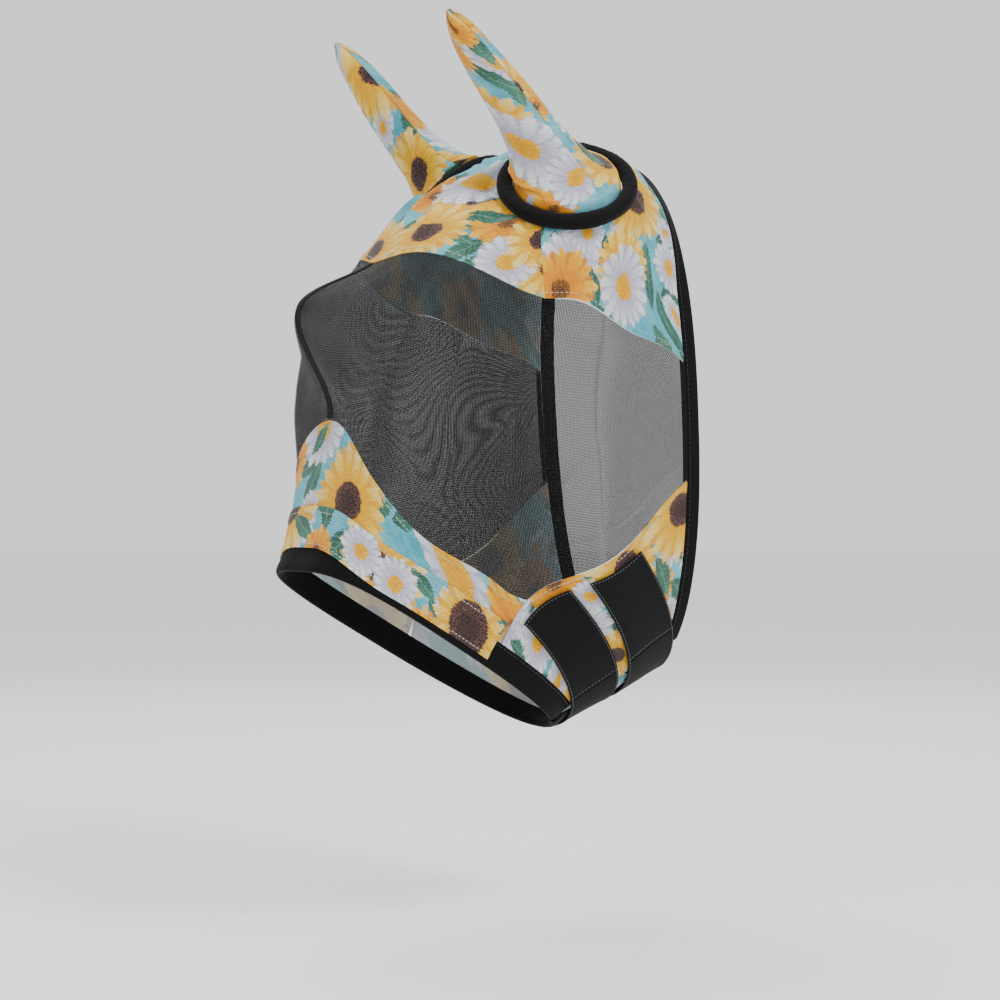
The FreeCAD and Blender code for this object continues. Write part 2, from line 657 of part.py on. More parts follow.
def build():
    document = FreeCAD.newDocument("fly_mask")
    sheet = document.addObject("Spreadsheet::Sheet", "sizes")
    size = {}
    for row, (name, value) in enumerate(SIZES, start=1):
        sheet.set("A%d" % row, name)
        sheet.set("B%d" % row, str(value))
        sheet.setAlias("B%d" % row, name)
    document.recompute()
    for name, value in SIZES:
        size[name] = float(sheet.get(name))

    form = HeadForm(size)
    shapes = {}
    shapes.update(crown_pieces(form, size))
    shapes["mesh_left"] = mesh_piece(form, size)
    shapes["mesh_right"] = shapes["mesh_left"].mirror(Vector(0, 0, 0), Vector(1, 0, 0))
    shapes.update(face_trim(form, size))
    shapes.update(nose_pieces(form, size))
    shapes.update(edge_bindings(form, size))
    shapes.update(jaw_pieces(form, size))
    shapes.update(strap_pieces(form, size, "front", FRONT_CREASE))
    shapes.update(strap_pieces(form, size, "rear", REAR_CREASE))
    for side, word in ((1, "left"), (-1, "right")):
        for panel in ("outer", "inner"):
            shapes["ear_%s_%s" % (word, panel)] = ear_sleeve(form, size, side, panel)

    parts = []
    for name, shape in shapes.items():
        feature = document.addObject("Part::Feature", name)
        feature.Label = name
        feature.Shape = shape
        feature.Placement = FreeCAD.Placement()
        parts.append(feature)
    for side in (1, -1):
        parts.append(add_ring(document, form, size, side))
    document.recompute()

    for item in document.Objects:
        if "Invalid" in item.State or "Error" in item.State:
            raise RuntimeError("failed object: " + item.Name)
    os.makedirs("parts", exist_ok=True)
    for part in parts:
        if part.Shape.isNull() or not part.Shape.isValid():
            raise RuntimeError("bad shape: " + part.Label)
    for part in parts:
        part.Shape.exportStep("parts/%s.step" % part.Label)
        print("%-22s %8.1f mm3" % (part.Label, part.Shape.Volume))


build()
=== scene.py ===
"""Looks of a horse fly mask with ear sleeves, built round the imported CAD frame.

Frame: +X to the horse's left, -Y forward along the face, +Z up.  Lengths are in millimetres
until a mesh is made.  Every piece lies on the same head form as its CAD solid: a place is
(share from the nose edge to the neck edge, turn round the head from the middle of the face, lift).
"""
import functools
import json
import math
from types import SimpleNamespace

import bpy
import numpy as np
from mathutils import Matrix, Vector


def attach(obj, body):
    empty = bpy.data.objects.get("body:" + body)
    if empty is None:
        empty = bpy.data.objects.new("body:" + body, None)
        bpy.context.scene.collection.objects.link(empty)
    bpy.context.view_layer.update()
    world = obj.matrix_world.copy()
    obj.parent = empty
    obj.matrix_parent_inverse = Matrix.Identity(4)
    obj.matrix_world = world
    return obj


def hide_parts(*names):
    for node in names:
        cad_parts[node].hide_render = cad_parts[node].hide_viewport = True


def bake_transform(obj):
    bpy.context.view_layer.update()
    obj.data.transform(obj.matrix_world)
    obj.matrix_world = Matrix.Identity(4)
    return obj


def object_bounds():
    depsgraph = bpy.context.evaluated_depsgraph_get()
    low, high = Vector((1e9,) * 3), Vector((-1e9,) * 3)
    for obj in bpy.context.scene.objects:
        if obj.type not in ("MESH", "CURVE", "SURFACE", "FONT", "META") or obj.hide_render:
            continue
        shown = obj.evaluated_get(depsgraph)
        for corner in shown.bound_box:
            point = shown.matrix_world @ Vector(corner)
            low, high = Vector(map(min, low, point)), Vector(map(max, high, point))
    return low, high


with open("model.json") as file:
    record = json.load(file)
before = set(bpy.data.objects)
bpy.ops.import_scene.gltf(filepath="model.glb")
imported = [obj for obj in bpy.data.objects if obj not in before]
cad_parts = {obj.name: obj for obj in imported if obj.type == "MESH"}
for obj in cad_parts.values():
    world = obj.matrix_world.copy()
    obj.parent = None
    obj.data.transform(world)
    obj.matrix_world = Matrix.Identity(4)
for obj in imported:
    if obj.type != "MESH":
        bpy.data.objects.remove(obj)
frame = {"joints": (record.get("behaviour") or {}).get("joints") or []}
CAD_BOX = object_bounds()
MM = 0.001

SIZE = SimpleNamespace(
    face_reach=290.0, face_drop=334.0, jaw_reach=62.0, jaw_drop=463.0, throat_set_back=38.0,
    throat_drop=419.0, poll_set_back=14.0, nose_half_width=66.0, bridge_half_width=72.0,
    eye_half_width=103.0, cheek_half_width=107.0, crown_half_width=103.0, neck_half_width=98.0,
    tent_rise=46.0, tent_half_width=42.0, eye_bulge=10.0, cloth=1.0, mesh_gauge=0.7, tape_gauge=0.7,
    tape_width=7.0, padding=4.0, nose_edge_width=22.0, neck_edge_width=14.0, neck_edge_gauge=2.4,
    nose_band_width=33.0, band_above_front=19.0, band_above_cheek=5.0, band_gauge=1.2, webbing=1.4,
    hook_gauge=0.8, loop_gauge=0.9, clearance=0.3, front_strap_width=46.0, rear_strap_width=52.0,
    strap_inset_cheek=44.0, strap_inset_jaw=3.0, strap_gap_cheek=15.0, strap_gap_jaw=5.0,
    patch_margin=3.0, ear_side=75.0, ear_reach=90.0, ear_drop=37.0, ring_bore=43.0, ring_band=10.5,
    ring_height=8.0, ear_tip_side=82.0, ear_tip_reach=207.0, ear_tip_rise=91.5,
    ear_middle_radius=21.0, ear_upper_radius=16.5, ear_skirt=9.0, ear_rise=16.0)

FACE_LINE = (
    (1.0, 1.0), (0.948, 0.847), (0.903, 0.665), (0.859, 0.479), (0.755, 0.278),
    (0.569, 0.111), (0.379, 0.024), (0.155, -0.009))
NOSE_SEAM = ((0.231, 0), (0.170, 31), (0.145, 51), (0.135, 70), (0.165, 88), (0.199, 95))
CROWN_HEM = ((0.482, 0), (0.522, 25), (0.555, 42), (0.630, 62))
REAR_HEM = ((0.630, 62), (0.706, 71), (0.860, 79), (1.0, 85))
JAW_SEAM = ((0.0, 98), (0.086, 95.5), (0.199, 95), (0.400, 104), (0.604, 108), (0.893, 102), (1.0, 99))
EAR_PLACE = (0.770, 35)
FLAP_EDGE = 150.0
FLAP_OPEN = 1.5
CREASES = {"front": 112.0, "rear": 128.0}
STRAP_SEAM = 172.0
STRAP_SEWN = 18.0
TAB_TOP = 99.0
TAB_BELOW_SEAM = 3.0
EAR_RIM = 2.0
EAR_LEVEL = 52.0
EAR_BLEND = 42.0
EAR_FADE = 30.0
EAR_PULL = (0.28, -0.40, 0.87)
EAR_FACING = (0.56, -0.37, 0.74)
SEAM_TURN = 120.0
SEAM_GAP = 0.25
SEWN_GAP = 0.25
ROW_STEPS = 48
TAPE_INSET = 0.003
TAPE_END = 0.45
EDGE_TAPE_WIDTH = 4.5
BAND_CHEEK_TURN = 62.0
SHELL = "mask_shell"
SIDES = ((1, "left"), (-1, "right"))

# soft shapes that the CAD doesn't have: millimetres, but SLEEVE_FOOT is a share of the sleeve
MIRROR = (-1.0, 1.0, 1.0)
INSIDE_HEAD = np.array([0.0, -110.0, -230.0])
WRINKLE_LENGTH = 38.0
EDGE_CALM = 9.0
HEM_RISE = 0.45
HEM_WIDTH = 6.0
HEM_STEP = 1.4
HOLE_CLEAR = 2.6
HOLE_DEPTH = 40.0
CROWN_FOLD = 2.8
BINDING_FIRST = FLAP_OPEN + FLAP_EDGE - 360.0
BINDING_LAST = FLAP_EDGE - FLAP_OPEN
SLEEVE_FOOT = 0.22
SLEEVE_STILL = 5.0
SLEEVE_FREE = 26.0
EAR_BULGE = {1: math.radians(225.0), -1: math.radians(160.0)}
EAR_BULGE_REACH = 13.0
RING_WIDER = 2.0
RING_HIGHER = 3.5

# levels of the straps above the cloth, and where the webbing of strap and tab meet
LOOP_TOP = SIZE.cloth + SIZE.loop_gauge
HOOK_LOW = LOOP_TOP + SIZE.clearance
TAB_LOW = HOOK_LOW + SIZE.hook_gauge
TAB_HIGH = TAB_LOW + SIZE.webbing
SEWN_LOW = (SIZE.cloth + SIZE.padding) / 2.0
STRAP_JOIN = 141.0

# the studio, in metres
FLOOR_DROP = 0.16
FLOOR_RADIUS = 14.0
MASK_MIDDLE = Vector((0.0, -0.11, -0.2))
CAMERA_TURN = math.radians(55.0)
CAMERA_PLACE = (1.5905, -1.2154, -0.2792)
CAMERA_LENS = 86.4


# ---------------------------------------------------------------- the head form

def ease(value):
    value = np.clip(value, 0.0, 1.0)
    return value * value * (3.0 - 2.0 * value)


def rise_and_fall(value, up, up_over, down, down_over):
    """0, rising to 1 from up on, and falling back to 0 from down on."""
    return ease((value - up) / up_over) * (1.0 - ease((value - down) / down_over))


def round_angles(count):
    return np.arange(count) * 2 * math.pi / count


def signed_power(value, exponent):
    return np.sign(value) * np.abs(value) ** exponent


def unit(vectors):
    return vectors / np.maximum(np.linalg.norm(vectors, axis=-1, keepdims=True), 1e-12)


class Curve:
    """Smooth cubic through points, with its end slopes from the cubic through the last four."""

    def __init__(self, marks, points):
        self.marks = np.asarray(marks, float)
        self.points = np.asarray(points, float).reshape(len(marks), -1)
        count = len(marks)
        gaps = np.diff(self.marks)
        matrix = np.zeros((count, count))
        right = np.zeros_like(self.points)
        matrix[0, 0] = matrix[-1, -1] = 1.0
        right[0] = self.end_slope(slice(0, 4), 0)
        right[-1] = self.end_slope(slice(count - 4, count), -1)
        for i in range(1, count - 1):
            before, after = 1.0 / gaps[i - 1], 1.0 / gaps[i]
            matrix[i, i - 1:i + 2] = before, 2.0 * (before + after), after
            right[i] = 3.0 * ((self.points[i] - self.points[i - 1]) * before ** 2
                              + (self.points[i + 1] - self.points[i]) * after ** 2)
        self.slopes = np.linalg.solve(matrix, right)

    def end_slope(self, part, end):
        marks = self.marks[part]
        rows = np.vander(marks - marks[end], len(marks), increasing=True)
        return np.linalg.solve(rows, self.points[part])[1]

    def __call__(self, at):
        at = np.asarray(at, float)
        i = np.clip(np.searchsorted(self.marks, at, side="right") - 1, 0, len(self.marks) - 2)
        gap = (self.marks[i + 1] - self.marks[i])[..., None]
        way = ((at - self.marks[i]) / gap[..., 0])[..., None]
        a, b = self.points[i], self.points[i + 1]
        slope_a, slope_b = self.slopes[i] * gap, self.slopes[i + 1] * gap
        return (a * (1 + 2 * way) * (1 - way) ** 2 + slope_a * way * (1 - way) ** 2
                + b * way ** 2 * (3 - 2 * way) + slope_b * way ** 2 * (way - 1))


def curve_through(points):
    points = np.array(points, float)
    curve = Curve(points[:, 0], points[:, 1:])
    return lambda at: curve(at)[..., 0]


NOSE_JAW = np.array([0.0, -SIZE.jaw_reach, -SIZE.jaw_drop])
THROAT = np.array([0.0, SIZE.throat_set_back, -SIZE.throat_drop])
face_points = np.array([(0.0, -SIZE.face_reach * a, -SIZE.face_drop * b) for a, b in FACE_LINE]
                       + [(0.0, SIZE.poll_set_back, -3.0)])
face_marks = np.concatenate([[0.0], np.cumsum(np.linalg.norm(np.diff(face_points, axis=0), axis=1))])
face_curve = Curve(face_marks, face_points)
fine_marks = np.linspace(0.0, face_marks[-1], 2001)
fine_points = face_curve(fine_marks)
fine_lengths = np.concatenate([[0.0], np.cumsum(np.linalg.norm(np.diff(fine_points, axis=0), axis=1))])
FACE_LENGTH = fine_lengths[-1]
half_width = curve_through((
    (0.0, SIZE.nose_half_width), (0.11, SIZE.bridge_half_width),
    (0.25, (SIZE.bridge_half_width + SIZE.eye_half_width) / 2.0),
    (0.38, SIZE.eye_half_width), (0.52, SIZE.cheek_half_width),
    (0.78, SIZE.crown_half_width), (1.0, SIZE.neck_half_width)))


def face_at(share):
    inside = np.clip(share, 0.0, 1.0)
    marks = np.interp(inside * FACE_LENGTH, fine_lengths, fine_marks)
    points = face_curve(marks)
    low = unit(fine_points[1] - fine_points[0])
    high = unit(fine_points[-1] - fine_points[-2])
    beyond = ((share - inside) * FACE_LENGTH)[..., None]
    return points + np.where(beyond < 0, low, high) * beyond


def ear_normal(side):
    return unit(np.array([side * EAR_FACING[0], EAR_FACING[1], EAR_FACING[2]]))


def ear_middle(side):
    return np.array([side * SIZE.ear_side, -SIZE.ear_reach, -SIZE.ear_drop])


def level_for_ear(points):
    """Moves the form beside each ear onto the plane of its ring."""
    flip = np.where(points[..., :1] >= 0, 1.0, -1.0) ** np.array([1.0, 0.0, 0.0])
    normal, pull = ear_normal(1), np.array(EAR_PULL)
    offset = ear_middle(1) - points * flip
    height = (offset * normal).sum(-1, keepdims=True)
    radius = np.linalg.norm(offset - normal * height, axis=-1, keepdims=True)
    near = 1.0 - ease((radius - SIZE.ring_bore - SIZE.ring_band - EAR_RIM) / EAR_BLEND)
    low = 1.0 - ease((np.abs(height) - EAR_LEVEL) / EAR_BLEND)
    fade = ease(np.abs(points[..., :1]) / EAR_FADE)
    return points + flip * pull * (height / (pull @ normal) * fade * near * low)


def bare(share, turn):
    share, turn = np.broadcast_arrays(np.asarray(share, float), np.asarray(turn, float))
    angle = np.radians(turn)
    inside = np.clip(share, 0.0, 1.0)
    cosine, sine = np.cos(angle), np.sin(angle)
    face = face_at(share)
    jaw = NOSE_JAW + (THROAT - NOSE_JAW) * ((1.8 - 0.8 * inside) * share)[..., None]
    boxy = 2.5 + np.where(cosine > 0, 1.0 - ease((share - 0.25) / 0.35), 0.0)
    down = (1.0 - signed_power(cosine, 2.0 / boxy)) / 2.0
    taper = 1.0 - (0.20 - 0.12 * share) * down ** 2
    side = half_width(inside) * signed_power(sine, 2.0 / boxy) * taper
    point = face * (1.0 - down[..., None]) + jaw * down[..., None]
    point[..., 0] = side
    facing = ease(2.0 * cosine)
    ridge = np.where(share < 0.385, ease((share - 0.235) / 0.15), ease((0.495 - share) / 0.11))
    tent = facing * ridge * SIZE.tent_rise * np.exp(-(side / SIZE.tent_half_width) ** 2)
    eye = facing * SIZE.eye_bulge * np.exp(-((np.abs(side) - 70.0) / 25.0) ** 2
                                              - ((share - 0.27) / 0.10) ** 2)
    point = point + np.array([0.0, -0.985, 0.17]) * tent[..., None]
    point = point + np.array([0.0, -0.97, -0.2]) * eye[..., None]
    lifted = ((np.abs(turn) < 110.0) & (share > 0.45) & (share < 1.05))[..., None]
    return np.where(lifted, level_for_ear(point), point)


def direction_out(share, turn):
    along = bare(share + 0.006, turn) - bare(share - 0.006, turn)
    across = bare(share, turn + 1.5) - bare(share, turn - 1.5)
    return unit(np.cross(across, along))


def at(share, turn, lift=0.0):
    share, turn, lift = np.broadcast_arrays(share, turn, lift)
    return bare(share, turn) + direction_out(share, turn) * lift[..., None]


row_cache = {}


def row(turn):
    key = round(float(turn), 3)
    if key not in row_cache:
        places = bare(np.arange(ROW_STEPS + 1) / ROW_STEPS, key)
        steps = np.linalg.norm(np.diff(places, axis=0), axis=1)
        row_cache[key] = np.concatenate([[0.0], np.cumsum(steps)])
    return row_cache[key]


def share_after(turn, distance):
    turn, distance = np.broadcast_arrays(np.asarray(turn, float), np.asarray(distance, float))
    shares = np.empty(turn.shape)
    for place in np.ndindex(turn.shape):
        marks = row(turn[place])
        step = min(max(int(np.searchsorted(marks, distance[place])) - 1, 0), ROW_STEPS - 1)
        way = (distance[place] - marks[step]) / (marks[step + 1] - marks[step])
        shares[place] = (step + way) / ROW_STEPS
    return shares


def row_length(turn):
    turn = np.asarray(turn, float)
    return np.array([row(t)[-1] for t in turn.ravel()]).reshape(turn.shape)


def nose_edge(turn):
    return share_after(turn, SIZE.nose_edge_width)


def neck_edge(turn):
    return share_after(turn, row_length(turn) - SIZE.neck_edge_width)


def pad_lift(distance):
    """Outside of the padded nose edge at a distance behind the edge."""
    cloth = SIZE.cloth
    return cloth + (SIZE.padding - cloth) / 2.0 * (1.0 - ease(distance / SIZE.nose_edge_width))


def seam(points):
    points = np.array(points, float)
    flat = points * (SEAM_TURN, 1.0)
    steps = np.hypot(np.diff(points[:, 0]), np.diff(points[:, 1]) / SEAM_TURN)
    marks = np.concatenate([[0.0], np.cumsum(steps) / steps.sum()])
    curve = Curve(marks, flat)

    def place(along):
        found = curve(np.clip(along, 0.0, 1.0))
        return found[..., 0] / SEAM_TURN, found[..., 1]
    return place


jaw_turn_curve = curve_through(JAW_SEAM)
rear_hem_turn = curve_through(REAR_HEM)
crown_hem = seam(CROWN_HEM)
nose_seam = seam(NOSE_SEAM)


def jaw_turn(share):
    return jaw_turn_curve(np.clip(share, 0.0, 1.0))


def both_halves(edge, along):
    share, turn = edge(np.abs(2.0 * along - 1.0))
    return share, np.where(along < 0.5, -turn, turn)


def grid(across, along):
    return np.meshgrid(np.linspace(0, 1, across + 1), np.linspace(0, 1, along + 1), indexing="ij")


def between(low, high, v):
    return low + (high - low) * v


# ---------------------------------------------------------------- places of the panels

def crown_front_place(u, v):
    low = both_halves(crown_hem, u)
    return between(low[0], EAR_PLACE[0], v), between(low[1], between(-EAR_PLACE[1], EAR_PLACE[1], u), v)


def crown_side_place(u, v):
    last_turn = REAR_HEM[-1][1]
    first_share = REAR_HEM[0][0]
    last_share = neck_edge(last_turn)
    second = u > 0.5
    way = np.where(second, 2.0 * u - 1.0, 2.0 * u)
    low_share = np.where(second, between(EAR_PLACE[0], first_share, way), EAR_PLACE[0])
    low_turn = np.where(second, between(EAR_PLACE[1], REAR_HEM[0][1], way), EAR_PLACE[1] * way)
    turn = low_turn + (last_turn * u - low_turn) * v
    hem_share = between(first_share, last_share, v)
    straight = between(REAR_HEM[0][1], last_turn, v)
    turn = turn + (rear_hem_turn(hem_share) - straight) * u ** 3
    return low_share + (neck_edge(turn) - low_share) * v, turn


def mesh_edge(front, rear_turn, points, along):
    first = points[0][0]
    last = float(neck_edge(points[-1][1]))
    share = between(first, last, np.clip(2.0 * along - 1.0, 0.0, 1.0))
    front_share, front_turn = front(np.clip(2.0 * along, 0.0, 1.0))
    later = along > 0.5
    return np.where(later, share, front_share), np.where(later, rear_turn(share), front_turn)


def mesh_place(u, v):
    low = mesh_edge(nose_seam, jaw_turn, JAW_SEAM[2:], u)
    high = mesh_edge(crown_hem, rear_hem_turn, REAR_HEM, u)
    return between(low[0], high[0], v), between(low[1], high[1], v)


def nose_panel_place(u, v):
    end = JAW_SEAM[2][1]
    turn = between(-end, end, u)
    high = both_halves(nose_seam, u)
    return between(nose_edge(turn), high[0], v), between(turn, high[1], v)


def band_start(turn):
    cheek = ease(np.abs(turn) / BAND_CHEEK_TURN)
    return between(SIZE.band_above_front, SIZE.band_above_cheek, cheek)


def nose_band_place(u, v):
    end = JAW_SEAM[2][1] - 1.0
    turn = between(-end, end, u)
    return share_after(turn, band_start(turn) + SIZE.nose_band_width * v), turn


def jaw_place(side, last):
    def place(u, v):
        top_edge = share_between(JAW_SEAM[2][1], u)
        first = side * (jaw_turn(top_edge) + SEAM_GAP)
        turn = between(first, last, v)
        return share_between(turn, u), turn
    return place


def share_between(turn, along):
    low = nose_edge(turn)
    return low + along * (neck_edge(turn) - low)


def strap_share(which, turn, across, margin=0.0):
    way = np.clip((turn - TAB_TOP) / (180.0 - TAB_TOP), 0.0, 1.0)
    start = between(SIZE.strap_inset_cheek, SIZE.strap_inset_jaw, way)
    if which == "rear":
        gap = between(SIZE.strap_gap_cheek, SIZE.strap_gap_jaw, way)
        start = start + SIZE.front_strap_width + gap
    width = getattr(SIZE, which + "_strap_width")
    return share_after(turn, start + margin + (width - 2.0 * margin) * across)


def tab_end(which, across, margin=0.0):
    turn = np.full(np.shape(across), TAB_TOP)
    for _ in range(6):
        turn = jaw_turn(strap_share(which, turn, across, margin)) + TAB_BELOW_SEAM
    return turn


def strap_place(which, first, last, margin=0.0):
    def place(u, v):
        if last is None:
            ends = tab_end(which, u[:, 0], margin) + margin / 2.0
            end = np.repeat(ends[:, None], u.shape[1], axis=1)
        else:
            end = last
        turn = first + (end - first) * v
        return strap_share(which, turn, u, margin), turn
    return place


# ---------------------------------------------------------------- meshes

def lengths(points, axis):
    """Running length along one direction of a grid of points."""
    steps = np.linalg.norm(np.diff(points, axis=axis), axis=-1)
    start = np.zeros_like(np.take(steps, [0], axis=axis))
    return np.concatenate([start, np.cumsum(steps, axis=axis)], axis=axis)


def flat_map(points, across_from=0.5, along_from=0.0):
    """Each point's place on the flat cloth, in metres, measured from inside the piece."""
    across, along = lengths(points, 0), lengths(points, 1)
    column = int(round(across_from * (points.shape[0] - 1)))
    line = int(round(along_from * (points.shape[1] - 1)))
    return np.stack([across - across[column:column + 1], along - along[:, line:line + 1]], axis=-1) * MM


def edge_distance(points, sides=("u0", "u1", "v0", "v1")):
    """Distance to the nearest of the named sides of a grid."""
    across, along = lengths(points, 0), lengths(points, 1)
    far = {"u0": across, "u1": across[-1:] - across, "v0": along, "v1": along[:, -1:] - along}
    return np.minimum.reduce([far[side] for side in sides])


def new_object(name, verts, faces, uvs=None, slots=None, sharp=52.0):
    mesh = bpy.data.meshes.new(name)
    mesh.from_pydata([tuple(v) for v in np.asarray(verts) * MM], [], [tuple(f) for f in faces])
    if uvs is not None:
        layer = mesh.uv_layers.new(name="cloth")
        index = np.empty(len(mesh.loops), np.int32)
        mesh.loops.foreach_get("vertex_index", index)
        layer.data.foreach_set("uv", np.asarray(uvs, np.float32)[index].ravel())
    if slots is not None:
        mesh.polygons.foreach_set("material_index", np.asarray(slots, np.int32))
    mesh.polygons.foreach_set("use_smooth", np.ones(len(mesh.polygons), bool))
    mesh.validate()
    mesh.update()
    mesh.set_sharp_from_angle(angle=math.radians(sharp))
    made = bpy.data.objects.new(name, mesh)
    bpy.context.scene.collection.objects.link(made)
    return made


def layered(name, outer, inner, uv, keep=None, two_sided=True):
    """Closed cloth between two grids of points; keep says which cells of the grid are there."""
    index = np.arange(outer[..., 0].size).reshape(outer.shape[:2])
    corners = np.stack([index[:-1, :-1], index[1:, :-1], index[1:, 1:], index[:-1, 1:]], axis=-1)
    quads = corners.reshape(-1, 4) if keep is None else corners[keep]
    i, j = np.array(index.shape) // 2
    normal = np.cross(outer[i + 1, j] - outer[i, j], outer[i, j + 1] - outer[i, j])
    if normal @ (outer[i, j] - inner[i, j]) <= 0:
        quads = quads[:, ::-1]
    edges = {}
    for quad in quads.tolist():
        for start, end in zip(quad, quad[1:] + quad[:1]):
            if edges.pop((end, start), None) is None:
                edges[(start, end)] = True
    count = index.size
    rims = np.array([(end, start, start + count, end + count) for start, end in edges], int).reshape(-1, 4)
    faces = np.concatenate([quads, quads[:, ::-1] + count, rims])
    slots = np.zeros(len(faces))
    slots[len(quads):2 * len(quads)] = 1 if two_sided else 0
    verts = np.concatenate([outer.reshape(-1, 3), inner.reshape(-1, 3)])
    uvs = np.concatenate([uv.reshape(-1, 2)] * 2)
    used = np.unique(faces)
    renumber = np.full(len(verts), -1)
    renumber[used] = np.arange(len(used))
    return new_object(name, verts[used], renumber[faces], uvs[used], slots)


def tube(name, points, uv, closed=False):
    """Strip with a round section: points[i, k] runs along i and round in k; open ends are capped."""
    count, around = points.shape[:2]
    index = np.arange(count * around).reshape(count, around)
    ahead = np.roll(index, -1, axis=0)
    quads = np.stack([index, ahead, np.roll(ahead, -1, axis=1), np.roll(index, -1, axis=1)], -1)
    faces = quads.reshape(-1, 4).tolist()
    if not closed:
        faces = faces[:-around] + [index[0].tolist(), index[-1][::-1].tolist()]
    middle = count // 2
    a, b, c, _ = points.reshape(-1, 3)[quads[middle, 0]]
    if np.cross(b - a, c - a) @ ((a + b + c) / 3.0 - points[middle].mean(axis=0)) < 0:
        faces = [face[::-1] for face in faces]
    return new_object(name, points.reshape(-1, 3), faces, uv.reshape(-1, 2))


def rounded_edge(far, width):
    """1 inside the piece, falling to 0 at its edge like a quarter circle."""
    way = np.clip(far / width, 0.0, 1.0)
    return np.sqrt(1.0 - (1.0 - way) ** 2)


def ripple(places, scale, seed):
    """Smooth random height from -1 to 1 over places, the same on every run."""
    draw = np.random.default_rng(seed)
    total = np.zeros(places.shape[:-1])
    weight = 0.0
    for octave in range(3):
        size = scale / 1.9 ** octave
        for _ in range(5):
            way = unit(draw.normal(size=places.shape[-1]))
            phase = draw.uniform(0, 2 * math.pi)
            stretch = draw.uniform(0.7, 1.4)
            total += np.sin((places @ way) * (2 * math.pi / (size * stretch)) + phase) / 1.7 ** octave
        weight += 5 ** 0.5 / 1.7 ** octave
    return np.clip(total / weight / 1.4, -1.0, 1.0)


def finish_piece(piece, nodes, slot, materials, blend=None, body=SHELL):
    """Hides the CAD nodes that a piece stands for and gives it its materials; without blend it hangs the
    piece on its body, with blend it only bakes the piece's transform into its mesh. slot is not used.
    """
    if nodes:
        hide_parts(*nodes)
    for material in materials:
        piece.data.materials.append(material)
    if blend:
        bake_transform(piece)
    else:
        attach(piece, body)
    return piece


def cloth_panel(name, node, place, cells, slot, materials, hems, wrinkle, seed,
                holes=(), mirror=False, gathers=None):
    """A panel of cloth on the head form that stands for a CAD node; gives back its outer points."""
    share, turn = place(*grid(*cells))
    flat = at(share, turn)
    lift = wrinkle * ripple(flat, WRINKLE_LENGTH, seed)
    if gathers:
        lift = lift + gathers(flat)
    rim = edge_distance(flat)
    lift = lift * (0.22 + 0.78 * ease(rim / EDGE_CALM))
    hem = HEM_RISE * (1.0 - ease((edge_distance(flat, hems) - HEM_WIDTH) / HEM_STEP))
    soft = 0.35 * SIZE.cloth * (1.0 - rounded_edge(rim, 0.9))
    outer = at(share, turn, SIZE.cloth + lift + hem - soft)
    inner = at(share, turn, lift + soft)
    keep = np.ones(cells, bool)
    limit = SIZE.ring_bore + HOLE_CLEAR
    for side in holes:
        normal, middle = ear_normal(side), ear_middle(side)
        for skin in (outer, inner):
            offset = skin - middle
            height = (offset @ normal)[..., None] * normal
            radial = offset - height
            near = (np.linalg.norm(radial, axis=-1) < limit) & (np.abs(offset @ normal) < HOLE_DEPTH)
            if skin is outer:
                keep &= ~(near[:-1, :-1] & near[1:, :-1] & near[1:, 1:] & near[:-1, 1:])
            skin[near] = (middle + height + unit(radial) * limit)[near]
    if mirror:
        outer, inner = outer * MIRROR, inner * MIRROR
    piece = layered(name, outer, inner, flat_map(flat), keep)
    finish_piece(piece, [node], slot, materials)
    return outer


def point_at(place, marks, points):
    return np.array([np.interp(place, marks, points[:, k]) for k in range(3)])


def dashes(name, lines, material, blend=None, length=2.7, gap=1.2, thick=0.30):
    """A run of stitches along each line of (points, directions out), as one mesh of short threads."""
    ring, proud = 6, 0.12
    profile = ((-0.5, 0.35), (-0.36, 0.85), (0.0, 1.0), (0.36, 0.85), (0.5, 0.35))
    angles = round_angles(ring)
    verts, faces = [], []
    for points, outs in lines:
        marks = np.concatenate([[0.0], np.cumsum(np.linalg.norm(np.diff(points, axis=0), axis=1))])
        count = max(int((marks[-1] - gap) / (length + gap)), 1)
        for middle in (np.arange(count) + 0.5) * marks[-1] / count:
            start, end = (point_at(middle + step, marks, points) for step in (-0.5 * length, 0.5 * length))
            if np.linalg.norm(end - start) < 0.3 * length:
                continue
            spot = point_at(middle, marks, points)
            out = unit(point_at(middle, marks, outs))
            along = unit(end - start)
            aside = unit(np.cross(out, along))
            first = len(verts)
            for step, width in profile:
                centre = spot + along * (step * length) + out * (proud * width)
                verts += [centre + (aside * math.cos(angle) * 1.25 + out * math.sin(angle)) * thick * width
                          for angle in angles]
            for j in range(len(profile) - 1):
                for i in range(ring):
                    near, far = first + j * ring + i, first + j * ring + (i + 1) % ring
                    faces.append((near, far, far + ring, near + ring))
            faces.append(tuple(first + i for i in reversed(range(ring))))
            faces.append(tuple(first + (len(profile) - 1) * ring + i for i in range(ring)))
    finish_piece(new_object(name, verts, faces, sharp=80.0), (), None, [material], blend)


def line_on(outer, side, inset):
    """A line inside one side of a grid of points, with the direction out at each point."""
    normals = grid_normals(outer)
    marks = lengths(outer, 0 if side[0] == "u" else 1)
    if side[0] == "u":
        outer, normals, marks = (a.swapaxes(0, 1) for a in (outer, normals, marks))
    place = marks[:, -1] - inset if side[1] == "1" else np.full(len(marks), inset)
    points, outs = (np.array([point_at(*row) for row in zip(place, marks, values)])
                    for values in (outer, normals))
    return points, unit(outs)


def grid_normals(outer):
    normals = unit(np.cross(np.gradient(outer, axis=0), np.gradient(outer, axis=1)))
    middle = tuple(np.array(outer.shape[:2]) // 2)
    return normals if normals[middle] @ (outer[middle] - INSIDE_HEAD) >= 0 else -normals


# ---------------------------------------------------------------- materials

